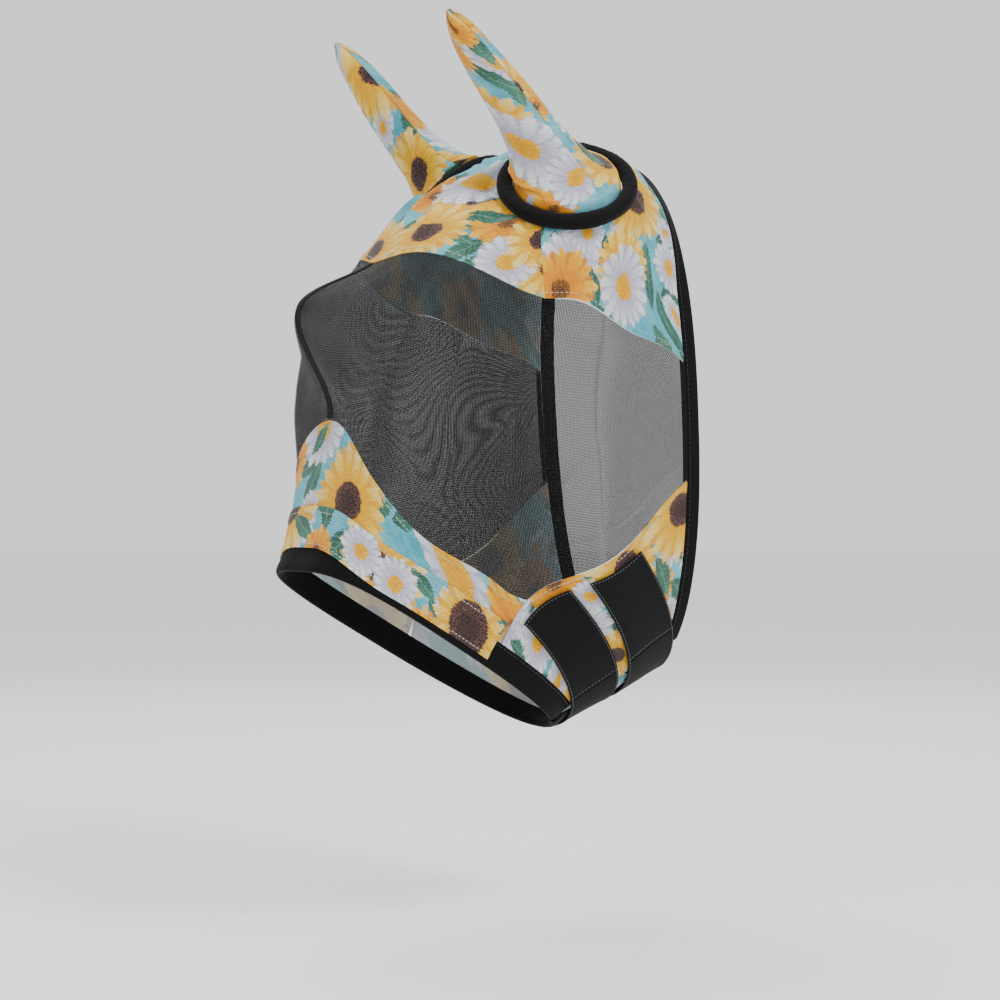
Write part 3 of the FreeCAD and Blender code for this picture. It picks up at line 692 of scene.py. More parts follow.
class Nodes:
    """Adds shader nodes to a tree and joins them up."""

    def __init__(self, tree):
        self.tree = tree

    def add(self, kind, **settings):
        node = self.tree.nodes.new("ShaderNode" + kind)
        for name, value in settings.items():
            setattr(node, name, value)
        return node

    def put(self, socket, value):
        if isinstance(value, bpy.types.NodeSocket):
            self.tree.links.new(value, socket)
        elif value is not None:
            socket.default_value = value

    def fill(self, node, *values, **named):
        """Sets or joins the inputs of a node, by their order or by their names."""
        for socket, value in zip(node.inputs, values):
            self.put(socket, value)
        for name, value in named.items():
            self.put(node.inputs[name.replace("_", " ")], value)
        return node

    def math(self, operation, *values, clamp=False):
        return self.fill(self.add("Math", operation=operation, use_clamp=clamp), *values).outputs[0]

    times = functools.partialmethod(math, "MULTIPLY")
    plus = functools.partialmethod(math, "ADD")
    minus = functools.partialmethod(math, "SUBTRACT")
    scaled = functools.partialmethod(math, "MULTIPLY_ADD")

    def swing(self, value, reach):
        """How far value lies from a half, times reach."""
        return self.times(self.minus(value, 0.5), reach)

    def step(self, edge, value, sharpness):
        """1 where value is under the edge, 0 where it is over it."""
        return self.scaled(self.minus(edge, value), sharpness, 0.5, clamp=True)

    def wave(self, value, pitch):
        return self.math("SINE", self.times(value, 2 * math.pi / pitch))

    def vector(self, operation, *values, **named):
        node = self.fill(self.add("VectorMath", operation=operation), *values, **named)
        return node.outputs["Value" if operation == "LENGTH" else "Vector"]

    def mix(self, share, a, b, blend="MIX"):
        node = self.add("Mix", data_type="RGBA", blend_type=blend)
        for place, value in ((0, share), (6, a), (7, b)):
            self.put(node.inputs[place], value)
        return node.outputs[2]

    def noise(self, vector, scale, detail=2.0, roughness=0.5, output="Fac"):
        node = self.add("TexNoise")
        return self.fill(node, Vector=vector, Scale=scale, Detail=detail, Roughness=roughness).outputs[output]

    def cells(self, vector, randomness, scale=1.0):
        node = self.add("TexVoronoi", voronoi_dimensions="2D")
        return self.fill(node, Vector=vector, Scale=scale, Randomness=randomness).outputs

    def draw(self, number):
        """A random value that belongs to a number."""
        return self.fill(self.add("TexWhiteNoise", noise_dimensions="1D"), W=number).outputs["Value"]

    def parts(self, vector):
        return self.fill(self.add("SeparateXYZ"), vector).outputs

    def join(self, *values):
        return self.fill(self.add("CombineXYZ"), *values).outputs[0]

    def ramp(self, value, stops):
        node = self.fill(self.add("ValToRGB"), value)
        elements = node.color_ramp.elements
        elements[0].position, elements[1].position = stops[0][0], stops[-1][0]
        for place, _ in stops[1:-1]:
            elements.new(place)
        for element, (_, colour) in zip(elements, stops):
            element.color = (*colour, 1.0)
        return node.outputs[0]

    def group(self, tree, *values):
        return self.fill(self.add("Group", node_tree=tree), *values).outputs

    def bump(self, shader, height, strength, distance):
        node = self.fill(self.add("Bump"), Strength=strength, Distance=distance, Height=height)
        self.put(shader.inputs["Normal"], node.outputs[0])


def new_group(name, inputs, outputs):
    group = bpy.data.node_groups.new(name, "ShaderNodeTree")
    for sockets, way in ((inputs, "INPUT"), (outputs, "OUTPUT")):
        for label, kind in sockets.items():
            group.interface.new_socket(label, in_out=way, socket_type="NodeSocket" + kind)
    start, end = (group.nodes.new("NodeGroup" + way) for way in ("Input", "Output"))
    return group, Nodes(group), start.outputs, end


def new_drawing(name):
    return new_group(name, {"Place": "Vector", "Size": "Float", "Spin": "Float"},
                     {"Mask": "Float", "Colour": "Color"})


TURQUOISE = (0.080, 0.350, 0.440, 1.0)
TURQUOISE_PALE = (0.250, 0.590, 0.650, 1.0)
LEAF_PALE = (0.27, 0.42, 0.30, 1.0)
FADED = (0.52, 0.56, 0.56, 1.0)
LEAF_GREENS = ((0.15, (0.014, 0.066, 0.050)), (0.45, (0.045, 0.155, 0.110)), (0.70, (0.110, 0.270, 0.185)),
               (1.0, (0.25, 0.40, 0.26)))
FLOWER_LOOKS = {
    # petals, petal depth, how pointed, core radius, petal colours from core to tip, back colour, core colours
    "sunflower": dict(petals=14, depth=0.50, point=1.6, core=0.30,
                      colours=((0.0, (0.62, 0.27, 0.03)), (0.42, (0.80, 0.45, 0.06)),
                               (0.62, (0.90, 0.62, 0.16)), (1.0, (0.93, 0.76, 0.36))),
                      back=(0.72, 0.36, 0.04, 1.0),
                      cores=((0.022, 0.008, 0.008, 1.0), (0.16, 0.075, 0.06, 1.0))),
    "orange": dict(petals=12, depth=0.40, point=1.6, core=0.22,
                   colours=((0.0, (0.50, 0.14, 0.015)), (0.40, (0.78, 0.30, 0.03)),
                            (0.75, (0.88, 0.48, 0.08)), (1.0, (0.92, 0.64, 0.22))),
                   back=(0.62, 0.22, 0.02, 1.0),
                   cores=((0.10, 0.04, 0.02, 1.0), (0.42, 0.18, 0.04, 1.0))),
    "daisy": dict(petals=16, depth=0.36, point=2.3, core=0.30,
                  colours=((0.0, (0.34, 0.31, 0.42)), (0.42, (0.56, 0.54, 0.64)),
                           (0.75, (0.76, 0.76, 0.80)), (1.0, (0.84, 0.84, 0.85))),
                  back=(0.36, 0.38, 0.50, 1.0),
                  cores=((0.72, 0.34, 0.03, 1.0), (0.90, 0.58, 0.10, 1.0))),
}
FLOWER_LOOKS["wide_sunflower"] = dict(FLOWER_LOOKS["sunflower"], core=0.47)
FLOWER_LOOKS["wide_daisy"] = dict(FLOWER_LOOKS["daisy"], core=0.43)
PETAL_SHARPNESS = 22.0
ALL_OVER = (
    # drawing, pitch, smallest and largest size, how many of the places are filled, shift, jitter
    ("leaf", 0.055, 0.018, 0.028, 0.95, (3.1, 7.7), 0.70),
    ("leaf", 0.066, 0.020, 0.032, 0.90, (9.4, 2.2), 0.80),
    ("daisy", 0.062, 0.014, 0.018, 0.55, (5.3, 1.9), 0.60),
    ("orange", 0.104, 0.026, 0.034, 0.70, (2.6, 4.4), 0.40),
    ("daisy", 0.106, 0.027, 0.035, 0.70, (8.2, 6.1), 0.35),
    ("sunflower", 0.118, 0.035, 0.044, 0.80, (1.4, 3.3), 0.30))
RIB_PITCH, LOOP_PITCH = 0.00150, 0.00105
# each knit row and column of the print is shifted sideways by a random share of its reach
KNIT_ROW, KNIT_ROW_REACH = 0.00115, 0.0022
KNIT_COLUMN, KNIT_COLUMN_REACH = 0.0013, 0.0009
NET_PITCH, NET_THREAD = 0.00135, 0.20
NET_HOLE_ALPHA = 0.28


def flower_group(name, look):
    """One flower round a middle: its mask and colour, drawn in polar steps."""
    group, n, inputs, end = new_drawing(name)
    wobble = n.noise(inputs["Place"], 34.0, output="Color")
    shift = n.vector("SCALE", n.vector("SUBTRACT", wobble, (0.5, 0.5, 0.5)), Scale=0.006)
    x, y, _ = n.parts(n.vector("ADD", inputs["Place"], shift))
    flat = n.join(x, y)
    reach = n.math("DIVIDE", n.vector("LENGTH", flat), inputs["Size"])
    angle = n.plus(n.math("ARCTAN2", y, x), inputs["Spin"])
    turns = n.times(angle, look["petals"] / (2 * math.pi))

    def petal(offset, size):
        """Length of the petal at this angle, how far off its midrib this is, and its random draw."""
        number = n.plus(turns, 40.0 + offset)
        aside = n.times(n.math("ABSOLUTE", n.minus(n.math("FRACT", number), 0.5)), 2.0)
        draw = n.draw(n.math("FLOOR", number))
        cut = n.times(n.math("POWER", aside, look["point"]), look["depth"])
        return n.minus(n.scaled(draw, 0.16, size - 0.08), cut), aside, draw

    front, aside, draw = petal(0.0, 0.92)
    front_mask = n.step(front, reach, PETAL_SHARPNESS)
    back_mask = n.step(petal(0.5, 0.86)[0], reach, PETAL_SHARPNESS)
    streaks = n.noise(n.join(n.times(turns, 2.3), n.times(reach, 1.6)), 3.2, 3.0, 0.6)
    tone = n.plus(n.plus(reach, n.swing(streaks, 0.55)), n.swing(draw, 0.16))
    colour = n.ramp(tone, look["colours"])
    colour = n.mix(n.times(n.math("POWER", aside, 4.0), 0.75), colour, look["back"])
    colour = n.mix(n.times(n.step(0.10, aside, 9.0), 0.22), colour, look["back"])
    behind = n.mix(n.times(streaks, 0.75), look["back"], colour)
    colour = n.mix(front_mask, behind, colour)
    core_mask = n.step(n.plus(look["core"], n.swing(wobble, 0.05)), reach, 30.0)
    speck = n.step(0.36, n.cells(flat, 0.8, scale=520.0)["Distance"], 4.0)
    ring = n.times(n.step(look["core"] * 0.55, reach, 8.0), 0.55)
    core = n.mix(n.minus(n.times(speck, 0.95), ring, clamp=True), *look["cores"])
    n.fill(end, Mask=n.math("MAXIMUM", n.math("MAXIMUM", front_mask, back_mask), core_mask),
           Colour=n.mix(core_mask, colour, core))
    return group


def leaf_group():
    """One pointed leaf with a midrib and side veins."""
    group, n, inputs, end = new_drawing("leaf")
    x, y, _ = n.parts(inputs["Place"])
    cosine, sine = (n.math(kind, inputs["Spin"]) for kind in ("COSINE", "SINE"))
    along = n.plus(n.times(x, cosine), n.times(y, sine))
    across = n.minus(n.times(y, cosine), n.times(x, sine))
    way = n.math("DIVIDE", along, inputs["Size"])
    side = n.math("DIVIDE", n.math("ABSOLUTE", across), inputs["Size"])
    bulge = n.times(n.minus(1.0, n.math("POWER", n.math("ABSOLUTE", way), 1.8)), 0.36)
    veins = n.math("FRACT", n.times(n.plus(way, n.times(side, -0.9)), 4.5))
    vein = n.step(0.10, n.math("ABSOLUTE", n.minus(veins, 0.5)), 14.0)
    shade = n.noise(inputs["Place"], 60.0, 3.0)
    colour = n.ramp(n.plus(n.times(shade, 0.7), n.times(way, 0.15)), LEAF_GREENS)
    drawn = n.math("MAXIMUM", n.times(vein, 0.45), n.step(0.018, side, 60.0))
    n.fill(end, Mask=n.step(bulge, side, 24.0), Colour=n.mix(n.times(drawn, 0.55), colour, LEAF_PALE))
    return group


def print_group():
    """All-over floral print, from a place in metres of cloth."""
    group, n, inputs, end = new_group("print", {"Place": "Vector"}, {"Colour": "Color"})
    wash = n.noise(inputs["Place"], 38.0, 4.0, 0.62)
    colour = n.mix(n.scaled(n.minus(wash, 0.5), 2.6, 0.40, clamp=True), TURQUOISE, TURQUOISE_PALE)
    for drawing, pitch, smallest, largest, share, shift, jitter in ALL_OVER:
        spots = n.vector("ADD", n.vector("SCALE", inputs["Place"], Scale=1.0 / pitch), (*shift, 0.0))
        x, y, _ = n.parts(spots)
        cell = n.cells(n.join(x, y), jitter)
        away = n.vector("SCALE", n.vector("SUBTRACT", n.join(x, y), cell["Position"]), Scale=pitch)
        red, green, blue = n.parts(cell["Color"])
        drawn = n.group(drawings[drawing], away, n.scaled(red, largest - smallest, smallest),
                        n.times(green, 2 * math.pi))
        colour = n.mix(n.times(drawn["Mask"], n.math("LESS_THAN", blue, share)), colour, drawn["Colour"])
    n.fill(end, Colour=colour)
    return group


def weave_group():
    """Fine ribbed knit: a height, and a shade that is painted shade in the knit's low grooves plus random
    fuzz tone, from a place in metres of cloth.
    """
    group, n, inputs, end = new_group("weave", {"Place": "Vector"}, {"Height": "Float", "Shade": "Float"})
    x, y, _ = n.parts(inputs["Place"])
    bend = n.swing(n.noise(inputs["Place"], 60.0, 1.0), 0.0016)
    rib = n.wave(n.plus(y, bend), RIB_PITCH)
    knots = n.times(rib, n.wave(n.plus(x, bend), LOOP_PITCH))
    height = n.plus(n.times(rib, 0.55), n.times(knots, 0.45))
    fuzz = n.noise(inputs["Place"], 900.0)
    # Shade is painted shade: darker where the knit's height is low, in its grooves, with random fuzz tone on
    # top
    n.fill(end, Height=n.plus(height, n.times(fuzz, 0.9)),
           Shade=n.plus(n.scaled(height, 0.085, 0.93), n.swing(fuzz, 0.14)))
    return group


drawings = {"leaf": leaf_group(), **{name: flower_group(name, look) for name, look in FLOWER_LOOKS.items()}}
all_over_print = print_group()
weave_drawing = weave_group()


def new_material(name):
    material = bpy.data.materials.new(name)
    material.use_nodes = True
    material.node_tree.nodes.clear()
    n = Nodes(material.node_tree)
    shader = n.add("BsdfPrincipled")
    n.fill(n.add("OutputMaterial"), Surface=shader.outputs[0])
    return material, n, shader


def cloth_material(name):
    """A material with the place on the flat cloth that all its patterns start from."""
    material, n, shader = new_material(name)
    return material, n, shader, n.add("UVMap", uv_map="cloth").outputs[0]


def print_material(name, shift, spin=0.0, placed=(), faded=False):
    """Printed stretch cloth; placed holds (drawing, u, v, size, spin) for single flowers on this panel."""
    material, n, shader, place = cloth_material(name)
    weave = n.group(weave_drawing, place)
    across, along, _ = n.parts(place)
    knitted = n.join(*(
        n.plus(moved, n.swing(n.draw(n.math("FLOOR", n.times(way, 1.0 / pitch))), reach))
        for moved, way, pitch, reach in ((across, along, KNIT_ROW, KNIT_ROW_REACH),
                                         (along, across, KNIT_COLUMN, KNIT_COLUMN_REACH))))
    turned = n.fill(n.add("VectorRotate", rotation_type="Z_AXIS"), Vector=knitted, Angle=spin)
    colour = n.group(all_over_print, n.vector("ADD", turned.outputs[0], (*shift, 0.0)))[0]
    for drawing, u, v, size, turn in placed:
        flower = n.group(drawings[drawing], n.vector("SUBTRACT", knitted, (u, v, 0.0)), size, turn)
        colour = n.mix(flower["Mask"], colour, flower["Colour"])
    worn = n.noise(place, 14.0, 3.0)
    ribs = n.noise(n.join(n.times(across, 0.16), along), 900.0)
    ribs = n.scaled(n.minus(ribs, 0.5), 0.75, 0.94)
    # shade multiplies the knit's painted groove shade with random streaks and blotches of tone
    shade = n.times(weave["Shade"], n.times(ribs, n.scaled(worn, 0.14, 0.93)))
    colour = n.mix(1.0, colour, n.join(shade, shade, shade), blend="MULTIPLY")
    colour = n.fill(n.add("HueSaturation"), Saturation=1.10, Value=0.84, Color=colour).outputs[0]
    if faded:
        colour = n.mix(0.60, colour, FADED)
    n.bump(shader, weave["Height"], 0.45, 0.00022)
    n.fill(shader, Base_Color=colour, Roughness=n.scaled(worn, 0.16, 0.62), Sheen_Weight=0.12,
           Sheen_Roughness=0.45, Specular_IOR_Level=0.30)
    return material


def black_cloth(kind, tone, rough, sheen, strength):
    """Black soft goods: fleece, webbing, tape, hook, loop or elastic."""
    material, n, shader, place = cloth_material(kind + "_black")
    x, y, _ = n.parts(place)
    fuzz = n.noise(place, 700.0 if kind == "fleece" else 1400.0, 4.0, 0.7)
    if kind == "webbing":
        rib = n.wave(y, 0.0019)
        warp = n.wave(n.plus(x, n.times(y, 0.5)), 0.0013)
        height = n.plus(n.times(rib, 0.55), n.times(n.times(warp, rib), 0.6))
    elif kind in ("tape", "elastic"):
        height = n.plus(n.wave(x if kind == "tape" else y, 0.0011), n.times(fuzz, 0.8))
    elif kind == "hook":
        height = n.minus(1.0, n.times(n.cells(place, 0.15, scale=700.0)["Distance"], 2.0))
    else:
        tufts = n.cells(place, 1.0, scale=520.0 if kind == "loop" else 640.0)["Distance"]
        height = n.plus(fuzz, n.times(tufts, -0.8))
    # painted shade: the black is darker where the weave, pile or hooks lie low and lighter on their tops,
    # following the bump height
    shade = n.plus(n.times(n.minus(height, -0.4), tone * 0.5), tone)
    speck = n.times(n.step(n.noise(place, 260.0, 5.0, 0.8), 0.68, 9.0), tone * 1.2)
    value = n.math("MAXIMUM", n.plus(shade, speck), 0.002)
    n.bump(shader, height, strength, 0.00035)
    n.fill(shader, Base_Color=n.join(value, value, n.times(value, 1.06)),
           Roughness=n.scaled(fuzz, 0.12, rough - 0.06), Sheen_Weight=sheen, Sheen_Roughness=0.4,
           Specular_IOR_Level=0.10)
    return material


def mesh_material(name):
    """Fine black knit net: threads with open holes between them."""
    material, n, shader, place = cloth_material(name)
    x, y, _ = n.parts(place)
    drift = n.swing(n.noise(place, 22.0), 0.0010)
    threads = []
    for a, b in ((1.0, 0.35), (-0.35, 1.0)):
        way = n.plus(n.plus(n.times(x, a), n.times(y, b)), n.plus(drift, 8.0))
        aside = n.math("ABSOLUTE", n.minus(n.math("FRACT", n.math("DIVIDE", way, NET_PITCH)), 0.5))
        threads.append(n.step(NET_THREAD * 0.5, aside, 14.0))
    value = n.scaled(n.noise(place, 800.0), 0.006, 0.001)
    alpha = n.scaled(n.math("MAXIMUM", *threads), 1.0 - NET_HOLE_ALPHA, NET_HOLE_ALPHA)
    n.fill(shader, Base_Color=n.join(value, value, value), Alpha=alpha, Roughness=0.62,
           Specular_IOR_Level=0.12, Sheen_Weight=0.0)
    return material


def plain_material(name, colour, scale, detail, tone, **values):
    """One colour with a fine noise of tone, over the object's own space."""
    material, n, shader = new_material(name)
    fuzz = n.noise(n.add("TexCoord").outputs["Object"], scale, detail)
    shade = n.scaled(fuzz, *tone)
    shaded = n.mix(1.0, (*colour, 1.0), n.join(shade, shade, shade), blend="MULTIPLY")
    n.fill(shader, Base_Color=shaded, **values)
    return material, n, shader, fuzz


def thread_material(name, colour):
    material, n, shader, fuzz = plain_material(
        name, colour, 2600.0, 3.0, (0.5, 0.72), Roughness=0.7, Sheen_Weight=0.2, Specular_IOR_Level=0.3)
    n.bump(shader, fuzz, None, 0.0002)
    return material


# ---------------------------------------------------------------- cloth panels

stitch_black = thread_material("thread_black", (0.016, 0.016, 0.017))
stitch_grey = thread_material("thread_grey", (0.10, 0.10, 0.105))
stitch_cloth = thread_material("thread_cloth", (0.44, 0.49, 0.43))

crown_print = print_material("crown_print", (0.31, 0.12), 0.4, (
    ("leaf", 0.073, 0.050, 0.020, 0.39), ("leaf", 0.053, 0.080, 0.019, 1.5),
    ("leaf", 0.062, 0.022, 0.017, -0.2), ("daisy", 0.031, 0.090, 0.036, 0.3),
    ("sunflower", -0.014, 0.012, 0.036, 0.5), ("sunflower", 0.038, 0.022, 0.036, 0.1),
    ("daisy", 0.109, 0.016, 0.027, 0.9), ("sunflower", 0.123, 0.046, 0.033, 0.7)))
crown_back = print_material("crown_print_back", (0.31, 0.12), 0.4, faded=True)
left_print = print_material("crown_left_print", (0.72, 0.55), 1.1, (
    ("leaf", 0.144, 0.124, 0.015, 2.3), ("leaf", 0.114, 0.044, 0.018, 0.1),
    ("sunflower", 0.040, 0.085, 0.040, 0.2), ("orange", 0.107, 0.013, 0.036, 0.4),
    ("daisy", 0.0655, 0.148, 0.026, 0.1), ("daisy", 0.069, 0.041, 0.018, 0.6),
    ("daisy", 0.114, 0.085, 0.038, 0.0)))
right_print = print_material("crown_right_print", (1.43, 0.23), 2.0)
rear_back = print_material("crown_rear_print_back", (1.43, 0.23), 2.0, faded=True)
nose_print = print_material("nose_print", (0.14, 0.86), 0.2, (
    ("leaf", -0.009, 0.083, 0.016, 0.93), ("leaf", 0.112, 0.040, 0.018, 0.2),
    ("orange", 0.215, 0.014, 0.032, 0.2), ("sunflower", 0.043, 0.037, 0.050, 0.3),
    ("wide_daisy", 0.158, 0.026, 0.038, 0.5)))
nose_back = print_material("nose_print_back", (0.14, 0.86), 0.2, faded=True)
band_print = print_material("band_print", (1.91, 0.42), 0.1, (
    ("leaf", -0.006, 0.016, 0.020, -0.5), ("leaf", 0.118, 0.022, 0.016, -0.4),
    ("orange", 0.020, 0.000, 0.020, 0.3), ("daisy", 0.062, 0.017, 0.020, 0.1),
    ("daisy", 0.095, 0.011, 0.022, 0.7), ("wide_sunflower", 0.169, 0.012, 0.043, 0.2)))
jaw_print = print_material("jaw_print", (0.93, 1.37), 0.8, (
    ("leaf", -0.104, 0.020, 0.016, 1.2), ("leaf", 0.043, 0.056, 0.024, 1.52),
    ("leaf", 0.058, 0.090, 0.022, 1.2), ("daisy", -0.084, 0.031, 0.024, 0.2),
    ("daisy", -0.076, 0.072, 0.019, 0.5), ("daisy", -0.031, 0.023, 0.018, 0.1),
    ("sunflower", -0.018, 0.089, 0.030, 0.1), ("sunflower", 0.083, 0.019, 0.051, 0.4)))
jaw_back = print_material("jaw_print_back", (0.93, 1.37), 0.8, faded=True)
flap_print = print_material("flap_print", (2.21, 0.77), 1.7)
ear_prints = {
    "ear_left_outer": print_material("ear_left_outer_print", (0.58, 2.11), 0.0, (
        ("leaf", -0.020, 0.022, 0.018, -1.6), ("orange", -0.026, 0.080, 0.016, 0.3),
        ("daisy", 0.004, 0.052, 0.030, 0.2))),
    "ear_left_inner": print_material("ear_left_inner_print", (1.16, 2.64), 0.3, (
        ("leaf", 0.013, 0.108, 0.019, -0.67), ("leaf", 0.014, 0.138, 0.018, -1.2),
        ("orange", -0.013, 0.116, 0.022, 0.4), ("orange", 0.002, 0.148, 0.017, 0.1),
        ("orange", -0.018, -0.004, 0.022, 0.8), ("orange", 0.021, -0.012, 0.022, 0.2),
        ("daisy", 0.004, 0.039, 0.038, 0.3), ("daisy", 0.036, 0.014, 0.026, 0.6),
        ("daisy", -0.024, 0.048, 0.015, 0.2))),
    "ear_right_outer": print_material("ear_right_outer_print", (2.87, 1.58), 0.5),
    "ear_right_inner": print_material("ear_right_inner_print", (2.33, 2.09), 0.2, (
        ("leaf", -0.030, 0.058, 0.020, 2.0), ("leaf", 0.012, 0.052, 0.016, 1.2),
        ("daisy", -0.0065, 0.0725, 0.016, 0.4), ("daisy", -0.003, 0.134, 0.013, 0.1),
        ("sunflower", -0.024, 0.106, 0.040, 0.2), ("sunflower", -0.012, 0.020, 0.037, 0.5))),
}
ear_back = print_material("ear_print_back", (0.58, 2.11), faded=True)
net = mesh_material("net")
# how dark, how rough, how much sheen, how strong the surface relief is
fleece = black_cloth("fleece", 0.0030, 0.95, 0.05, 0.40)
webbing = black_cloth("webbing", 0.0036, 0.80, 0.03, 0.60)
tape = black_cloth("tape", 0.0030, 0.80, 0.03, 0.45)
hook = black_cloth("hook", 0.0055, 0.50, 0.02, 0.9)
loop = black_cloth("loop", 0.0050, 0.97, 0.12, 0.9)
elastic = black_cloth("elastic", 0.0030, 0.90, 0.05, 0.35)


def round_axes(normal):
    aside = unit(np.cross(normal, (0.0, 0.0, 1.0)))
    return aside, np.cross(normal, aside)


def gathers_at_ears(flat):
    """Small pleats that run out from the ear rings, and folds between the ears."""
    total = np.zeros(flat.shape[:-1])
    clear = np.ones(flat.shape[:-1])
    for side in (1, -1):
        normal = ear_normal(side)
        offset = flat - ear_middle(side)
        radial = offset - (offset @ normal)[..., None] * normal
        radius = np.linalg.norm(radial, axis=-1)
        aside, up = round_axes(normal)
        angle = np.arctan2(radial @ up, radial @ aside)
        close = rise_and_fall(radius, 53.0, 5.0, 62.0, 34.0)
        total += close * (1.15 * np.sin(17 * angle + 1.3 * np.sin(3 * angle)) + 0.45 * np.sin(31 * angle))
        clear *= ease((radius - 50.0) / 14.0)
    aside = flat[..., 0] + 5.0 * np.sin(flat[..., 1] / 31.0)
    ridges = 1.0 - 1.8 * np.abs(np.sin(aside / 9.0)) + 0.45 * np.sin(aside / 3.6 + flat[..., 1] / 17.0)
    folds = ridges * clear * ease(1.9 - np.abs(flat[..., 0]) / 40.0) * ease((flat[..., 1] + 215.0) / 45.0)
    return total + CROWN_FOLD * folds


front_outer = cloth_panel(
    "crown_front_cloth", "crown_front_panel", crown_front_place, (150, 72), "print_cloth_crown",
    (crown_print, crown_back), ("v0",), 0.45, 3, (1, -1),
    gathers=gathers_at_ears)
left_outer, right_outer = (
    cloth_panel("crown_%s_cloth" % word, "crown_%s_panel" % word, crown_side_place, (110, 84),
                "print_cloth_crown", (printed, rear_back), ("u1",),
                0.5, seed, (1,), word == "right", gathers_at_ears)
    for word, printed, seed in (("left", left_print, 5), ("right", right_print, 6)))


def dart(flat, share, turn):
    """Soft fold that falls from the crown hem over the eye, and slack toward the cheek."""
    fold = np.exp(-((turn - 33.0) / 2.2) ** 2) * rise_and_fall(share, 0.33, 0.06, 0.49, 0.05)
    slack = 0.6 * ripple(flat, 70.0, 12) * ease((turn - 20.0) / 20.0)
    return 2.2 * fold + slack


for side, word in SIDES:
    share, turn = mesh_place(*grid(150, 84))
    flat = at(share, turn)
    lift = dart(flat, share, turn) * ease(edge_distance(flat) / 10.0)
    outer, inner = (at(share, turn, level) * (side, 1.0, 1.0) for level in (lift + SIZE.mesh_gauge, lift))
    piece = layered("eye_net_" + word, outer, inner, flat_map(flat, 0.3, 0.5), two_sided=False)
    finish_piece(piece, ["mesh_" + word], "eye_mesh", [net])

nose_outer = cloth_panel(
    "nose_cloth", "nose_panel", nose_panel_place, (170, 40), "print_cloth_nose", (nose_print, nose_back),
    ("v1",), 0.3, 8)

u, v = grid(170, 22)
share, turn = nose_band_place(u, v)
band_base = pad_lift(band_start(turn) + SIZE.nose_band_width * v) + SEWN_GAP
flat = at(share, turn, band_base)
rim = edge_distance(flat)
wave = 0.25 * ripple(flat, 30.0, 21) * ease(rim / 6.0)
fold = 0.35 * (1.0 - ease((edge_distance(flat, ("v0", "v1")) - 5.0) / 1.2))
soft = 0.45 * (1.0 - rounded_edge(rim, 1.2))
band_outer = at(share, turn, band_base + SIZE.band_gauge + wave + fold - soft)
band_inner = at(share, turn, band_base + soft * 0.6)
band = layered("nose_band_cloth", band_outer, band_inner, flat_map(flat), two_sided=False)
finish_piece(band, ["nose_band"], "print_cloth_band", [band_print])

jaw_outer, flap_outer = (
    cloth_panel(name, node, jaw_place(side, last), (84, along), "print_cloth_jaw", (printed, jaw_back),
                ("v0", "v1"), wrinkle, seed)
    for name, node, side, last, along, printed, wrinkle, seed in (
        ("jaw_left_cloth", "jaw_panel_left", 1, BINDING_LAST, 44, jaw_print, 0.25, 9),
        ("jaw_flap_cloth", "jaw_flap_right", -1, BINDING_FIRST, 110, flap_print, 0.3, 10)))


# ---------------------------------------------------------------- padded edges, ears and rings

def binding(name, node, slot, width, from_neck, half_height, puff, seed):
    """Folded strip round an edge: a rounded section carried round the head. Gives back its turns."""
    count, around = 300, 22
    turns = np.linspace(BINDING_FIRST, BINDING_LAST, count)
    turn, angle = np.meshgrid(turns, round_angles(around), indexing="ij")
    way = 0.5 - 0.5 * signed_power(np.cos(angle), 0.7)
    far = width * way
    share = share_after(turn, row_length(turn) - width + far if from_neck else far)
    middle = SIZE.cloth / 2.0
    lift = middle + half_height(way) * signed_power(np.sin(angle), 0.62)
    ripples = ripple(at(share, turn, lift), 26.0, seed)
    lift = lift + puff * ripples * np.sign(np.sin(angle) + 1e-9) * np.abs(np.sin(angle))
    points = at(share, turn, lift)
    ends = rounded_edge(np.minimum(np.abs(turn - BINDING_FIRST), np.abs(turn - BINDING_LAST)), 0.9)[..., None]
    centre = points.mean(axis=1, keepdims=True)
    points = centre + (points - centre) * (0.55 + 0.45 * ends)
    along = lengths(at(share, turn, middle), 0)[:, :1]
    uv = np.stack([np.repeat(along, around, axis=1), far + 3.0 * np.sin(angle)], axis=-1) * MM
    piece = finish_piece(tube(name, points, uv), [node], slot, [fleece])
    return turns


nose_turns = binding("nose_roll", "nose_binding", "padded_binding", SIZE.nose_edge_width, False,
                     lambda way: 0.9 + 2.4 * (1.0 - ease(way / 0.75)), 0.35, 31)
neck_turns = binding("neck_roll", "neck_binding", "neck_binding", SIZE.neck_edge_width, True,
                     lambda way: 1.2, 0.16, 32)


def sleeve_lift(u, v, angle, seed):
    """Gathers above the ring and soft folds higher up a sleeve."""
    inside = ease(np.minimum(u, 1.0 - u) / 0.08)
    low = rise_and_fall(v, 0.20, 0.05, 0.26, 0.22)
    pleats = 0.9 * low * np.sin(13 * angle + 1.5 * np.sin(2 * angle)) * inside
    spots = np.stack([30.0 * np.cos(angle), 30.0 * np.sin(angle), 150.0 * v], axis=-1)
    return pleats + 0.9 * ripple(spots, 46.0, seed) * inside * rise_and_fall(v, 0.3, 0.1, 0.88, 0.1)


